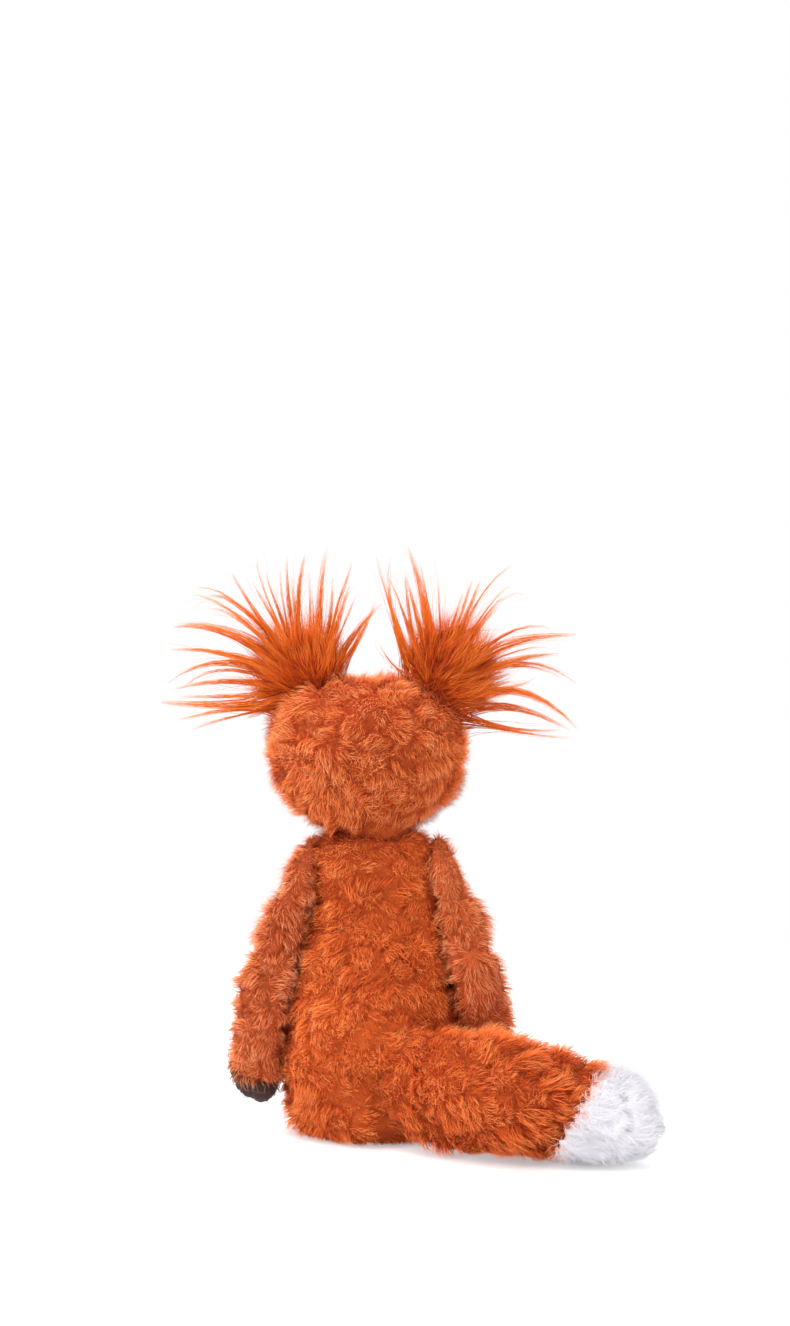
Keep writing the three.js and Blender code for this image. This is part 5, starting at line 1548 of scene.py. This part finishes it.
hair = hairTree()
earSizes = {
    "voxel": 2.4, "skinInset": 1.0, "swell": 0.6, "swellSize": 25, "furrow": (0, 20), "finish": earHair,
    "guideSteps": 8, "leafShare": (0.62, 0.86), "hairsPerWidth": 9.3, "tipsApart": 16, "tipDrop": 6,
    "pileSizes": {"pile": 13.0, "lean": 1.7, "clump": 7.0, "strands": 0.8, "droop": 0.35, "swirl": 0.3,
                  "gap": 0.1, "ruffle": 0, "pull": 0.3, "stray": 0.25, "strandRadius": 0.22},
    "locks": {"hairRadius": 0.27, "rootSpread": 6.0, "wave": 1.2, "shortest": 0.6, "tones": (0.35, 1.0)},
    # The thatch takes the darker tones, painted shade in the dense middle of the ear
    "thatch": {"hairRadius": 0.3, "rootSpread": 8.0, "wave": 2.0, "shortest": 0.5, "tones": (0.0, 0.45)},
    "wisps": {"hairRadius": 0.17, "rootSpread": 9.0, "wave": 5.0, "shortest": 0.75, "tones": (0.3, 1.0)},
    "wispShare": (0.85, 1.06), "wispShift": 9, "wispWidth": 0.1, "reach": (138, 378),
    "wispBend": 0.4, "thatchFan": (-38, 118, 26), "thatchTurn": 4, "thatchLength": (36, 46),
    "thatchLift": 4, "thatchTip": 5, "thatchWidth": 5, "rootShare": (0.55, 0.9),
}
# Locks of each ear as seen from behind, in mm: sideways and height of the root, of the middle and of
# the tip, and the width at the middle
lockRows = {
    "left": (
        (66, 272, 90, 274.5, 119, 266, 1.5), (62, 276, 88, 278, 127, 270.5, 3),
        (58, 285, 90, 283, 136, 286, 6), (56, 288, 92, 288, 124, 288.5, 3),
        (55, 289, 92, 294, 130, 287.5, 4), (60, 292, 94, 303, 121, 291, 2.5),
        (62, 297, 97, 307.5, 131, 294.5, 4.5), (60, 300, 92, 313.5, 130, 317.5, 5),
        (58, 305, 92, 325, 128, 328, 8), (62, 312, 96, 330, 118, 332, 1.2),
        (58, 308, 84, 335, 106, 342.5, 3), (56, 310, 84, 339, 109, 345.5, 4.5),
        (56, 312, 86, 344, 112, 356, 2), (60, 314, 96, 345, 124, 352, 1),
        (54, 310, 74, 339, 90, 366, 3.5), (52, 310, 67, 338, 78, 356, 2.5),
        (50, 310, 66, 345, 74, 374, 1.5), (50, 310, 61, 340, 70, 366, 2.5),
        (48, 308, 56, 338, 59, 370, 1.5), (48, 308, 53.5, 340, 56, 374, 3.5),
        (46, 308, 50, 340, 52, 364, 3), (44, 308, 48, 342, 43, 377, 5),
        (42, 305, 41, 335, 41.5, 366, 1.2), (40, 306, 38, 332, 40, 360, 1.2),
        (36, 305, 35, 342, 30, 380, 5), (32, 304, 29, 332, 27, 359, 3.5),
        (30, 302, 23.5, 341, 13, 374, 3), (30, 302, 23, 334, 15, 357, 3.5),
        (29, 302, 21, 328, 11, 350, 1.5), (26, 300, 14, 324, -5, 343.5, 4.5),
        (22, 300, 11, 322, -1, 347, 3.5),
    ),
    "right": (
        (58, 260, 88, 264, 124, 257.5, 1.8), (58, 265, 84, 267.5, 118, 266, 2),
        (52, 270, 86, 279.5, 123, 265.5, 5), (50, 277, 92, 291, 129, 267, 6),
        (52, 285, 82, 293, 101, 301, 3), (60, 300, 90, 304, 118, 294.5, 2.5),
        (62, 302, 98, 308, 130, 293, 1.5), (52, 290, 80, 308, 116, 315.5, 6),
        (55, 298, 86, 315, 112, 319, 1.2), (50, 300, 84, 321, 127, 327.5, 6),
        (52, 302, 84, 327.5, 112, 330.5, 2.5), (50, 304, 67, 332, 80, 344, 5),
        (52, 306, 74, 342, 95, 349, 1.2), (50, 306, 72, 343, 90, 355.5, 1.2),
        (48, 305, 66, 347, 90, 369, 1.3), (46, 304, 58, 339, 67, 362, 5),
        (44, 304, 54, 339, 62, 363, 3), (43, 303, 50, 333, 56, 352, 3),
        (42, 303, 41, 335, 38, 368, 1), (38, 302, 32, 338, 20, 378, 7),
        (36, 302, 27.5, 335, 20, 362, 4), (38, 303, 34, 339, 28, 369, 2.5),
        (28, 300, 22.5, 330, 19, 367, 2.5), (26, 300, 19, 334, 8.5, 360, 2.5),
        (22, 298, 14, 330, 8.5, 357, 5), (20, 298, 12, 332, 9.5, 373, 1.5),
        (18, 298, 10, 340, 0, 373, 1.2), (15, 299, 9, 311, 4, 325, 1.2),
    ),
}


# Each row as a bent line from the ear's leaf to the end of the lock
def guideLines(name, side, locks, tonesFrom, random):
    hinge = np.array(sizesOf["ear"]["hinge"])
    drop, steps = earSizes["tipDrop"], earSizes["guideSteps"]
    points, edges, tones, widths = [], [], [], []
    for rootX, rootZ, midX, midZ, tipX, tipZ, width in locks:
        lean = random.uniform(-1, 1) * earSizes["tipsApart"]  # forwards or back
        root = np.array([rootX, hinge[1] + 0.3 * lean, rootZ - drop])
        root = hinge + (root - hinge) * random.uniform(*earSizes["rootShare"])
        tip = np.array([tipX, hinge[1] + lean, tipZ - drop - 0.14 * lean])
        mid = np.array([midX, hinge[1] + 0.6 * lean, midZ - drop - 0.08 * lean])
        knee = mid * 2 - (root + tip) / 2
        tone = random.uniform(*tonesFrom)
        start = len(points)
        for step in range(steps):
            t = step / (steps - 1)
            spot = root * (1 - t) ** 2 + knee * 2 * t * (1 - t) + tip * t ** 2
            points.append(spot * np.array([side, 1, 1]))
        tones += [tone] * steps
        widths += [width] * steps
        edges += [(start + i, start + i + 1) for i in range(steps - 1)]
    piece = meshObject(name, np.array(points) * mm, [], edges)
    giveAttribute(piece, "lockTone", tones)
    giveAttribute(piece, "lockWidth", np.array(widths, np.float32) * mm)
    return piece


# Shorter hair that makes the dense middle of both ears, seen from behind as a fan
def thatch(random):
    x, _, z = sizesOf["ear"]["hinge"]
    turn, lift = earSizes["thatchTurn"], earSizes["thatchLift"]
    rows = []
    for angle in np.linspace(*earSizes["thatchFan"]):
        angle = math.radians(angle + random.uniform(-turn, turn))
        length = random.uniform(*earSizes["thatchLength"])
        tipX, tipZ = x + lift + length * math.sin(angle), z + lift + length * math.cos(angle)
        rows.append((x, z + lift, (x + tipX) / 2, (z + tipZ) / 2 + lift,
                     tipX, tipZ + earSizes["thatchTip"], earSizes["thatchWidth"]))
    return rows


# Single hairs that stray from the locks
def wisps(locks, random):
    hinge = np.array(sizesOf["ear"]["hinge"])[[0, 2]]
    rows = []
    for row in locks * 2:
        root, middle, tip = (np.array(row[k:k + 2]) for k in (0, 2, 4))
        shift = random.uniform(-1, 1, 2) * earSizes["wispShift"]
        tip = hinge + (tip - hinge) * random.uniform(*earSizes["wispShare"]) + shift
        tip = np.minimum(tip, earSizes["reach"])
        rows.append((*root, *(middle + shift * earSizes["wispBend"]), *tip, earSizes["wispWidth"]))
    return rows


for side, hand, seed in ((1, "left", 101), (-1, "right", 111)):
    random = np.random.default_rng(seed)
    leafForm = earForm(side)
    leafForm["length"] *= earSizes["leafShare"][0]
    leafForm["halfWidth"] *= earSizes["leafShare"][1]
    leafPoints, leafFaces = loft(leafForm, earSizes["skinInset"], 40, 30)
    flip = np.array([side, 1, 1])
    up, across, hinge = (np.array(sizesOf["ear"][k]) * flip for k in ("up", "across", "hinge"))

    def earFlow(points, up=up, across=across, hinge=hinge):  # up the leaf, and out to its sides
        offset = points / mm - hinge
        return up + across * (offset @ across / 30)[:, None]

    dressed(hand + "_ear", [(leafPoints, leafFaces)], earSizes, earFlow, [(near["head"], 0.8, 0.2)],
            hand + "_ear", (hand + "_ear",), [], seed)
    rowsOf = {"locks": lockRows[hand], "thatch": thatch(random), "wisps": wisps(lockRows[hand], random)}
    for kind, rows in rowsOf.items():
        sizes = earSizes[kind]
        piece = guideLines(f"{hand}_ear_{kind}", side, rows, sizes["tones"], random)
        applyTree(piece, hair, {
            "Hairs per width": earSizes["hairsPerWidth"] / mm, "Hair radius": sizes["hairRadius"] * mm,
            "Root spread": sizes["rootSpread"] * mm, "Wave": sizes["wave"] * mm,
            "Shortest": sizes["shortest"], "Seed": seed, "Finish": earHair,
        })
        tellTriangles(piece)
        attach(piece, hand + "_ear")
print("ears ready")


# Floor, light and camera, in metres, degrees and watts
stageSizes = {
    "floorHalf": 6.0, "whiteFrom": 0.35, "whiteTo": 0.9, "glow": 0.42, "worldLight": 0.8,
    "azimuth": 183.0, "elevation": 8.0, "distance": 1.99, "lens": 85, "aim": (-0.0127, 0, 0.16),
    "shiftY": 0.1678,
}
lampSizes = {
    "topSoftbox": {"place": (0.35, 0.3, 1.9), "size": 1.2, "power": 31},
    "sideSoftboxLeft": {"place": (1.6, 1.1, 1.1), "size": 0.9, "power": 21},
    "sideSoftboxRight": {"place": (-1.7, 1.2, 0.6), "size": 1.1, "power": 10},
    "frontSoftbox": {"place": (0.3, -1.9, 1.1), "size": 1.2, "power": 20},
}
lampAim = (0, 0, 0.16)


# 1 on the rays that show the white paper itself: straight, mirrored or through something clear
def seenRays(put):
    path = put("ShaderNodeLightPath").outputs
    first = {0: path["Is Camera Ray"], 1: path["Is Glossy Ray"]}
    first = outOf(put("ShaderNodeMath", first, operation="MAXIMUM"))
    return outOf(put("ShaderNodeMath", {0: first, 1: path["Is Transmission Ray"]}, operation="MAXIMUM"))


# Pale paper that keeps the shadow, and fades to plain white away from the fox
def stageMaterial(name):
    material = bpy.data.materials.new(name)
    material.use_nodes = True
    put = putter(material.node_tree)
    material.node_tree.nodes.clear()
    seen = seenRays(put)
    diffuse = outOf(put("ShaderNodeBsdfDiffuse", {"Color": (0.8, 0.8, 0.8, 1)}))
    glow = {"Color": (1, 0.985, 0.99, 1), "Strength": stageSizes["glow"]}
    both = outOf(put("ShaderNodeAddShader", {0: diffuse, 1: outOf(put("ShaderNodeEmission", glow))}))
    spot = outOf(put("ShaderNodeTexCoord"), "Object")
    away = outOf(put("ShaderNodeVectorMath", {0: spot}, operation="LENGTH"), "Value")
    far = {"Value": away, "From Min": stageSizes["whiteFrom"], "From Max": stageSizes["whiteTo"]}
    far = outOf(put("ShaderNodeMapRange", far, interpolation_type="SMOOTHSTEP"))
    paper = outOf(put("ShaderNodeEmission", {"Color": (1, 1, 1, 1), "Strength": 1.0}))
    fading = outOf(put("ShaderNodeMixShader", {0: far, 1: both, 2: paper}))
    mixed = outOf(put("ShaderNodeMixShader", {0: seen, 1: diffuse, 2: fading}))
    material.node_tree.links.new(mixed, put("ShaderNodeOutputMaterial").inputs["Surface"])
    return material


half = stageSizes["floorHalf"]
corners = np.array([(-half, -half, 0), (half, -half, 0), (half, half, 0), (-half, half, 0)])
floor = meshObject("floor", corners, [(0, 1, 2, 3)])
floor.data.materials.append(stageMaterial("floorPaper"))

world = bpy.data.worlds.new("studio")
world.use_nodes = True
scene.world = world
put = putter(world.node_tree)
world.node_tree.nodes.clear()
seen = seenRays(put)
soft = outOf(put("ShaderNodeBackground", {"Color": (1, 1, 1, 1), "Strength": stageSizes["worldLight"]}))
white = outOf(put("ShaderNodeBackground", {"Color": (1, 1, 1, 1), "Strength": 1.0}))
mixed = outOf(put("ShaderNodeMixShader", {0: seen, 1: soft, 2: white}))
world.node_tree.links.new(mixed, put("ShaderNodeOutputWorld").inputs["Surface"])

for name, sizes in lampSizes.items():
    lamp = bpy.data.lights.new(name, "AREA")
    lamp.size = sizes["size"]
    lamp.energy = sizes["power"]
    lampObject = bpy.data.objects.new(name, lamp)
    lampObject.location = sizes["place"]
    aim = Vector(lampAim) - Vector(sizes["place"])
    lampObject.rotation_euler = aim.to_track_quat("-Z", "Y").to_euler()
    scene.collection.objects.link(lampObject)

cameraData = bpy.data.cameras.new("camera")
camera = bpy.data.objects.new("camera", cameraData)
scene.collection.objects.link(camera)
azimuth, elevation = math.radians(stageSizes["azimuth"]), math.radians(stageSizes["elevation"])
level = math.cos(elevation)
back = Vector((math.sin(azimuth) * level, -math.cos(azimuth) * level, math.sin(elevation)))
camera.location = Vector(stageSizes["aim"]) + back * stageSizes["distance"]
camera.rotation_euler = (-back).to_track_quat("-Z", "Y").to_euler()
cameraData.lens = stageSizes["lens"]
cameraData.shift_y = stageSizes["shiftY"]
cameraData.clip_end = 50
scene.camera = camera
scene.view_settings.view_transform = "Standard"
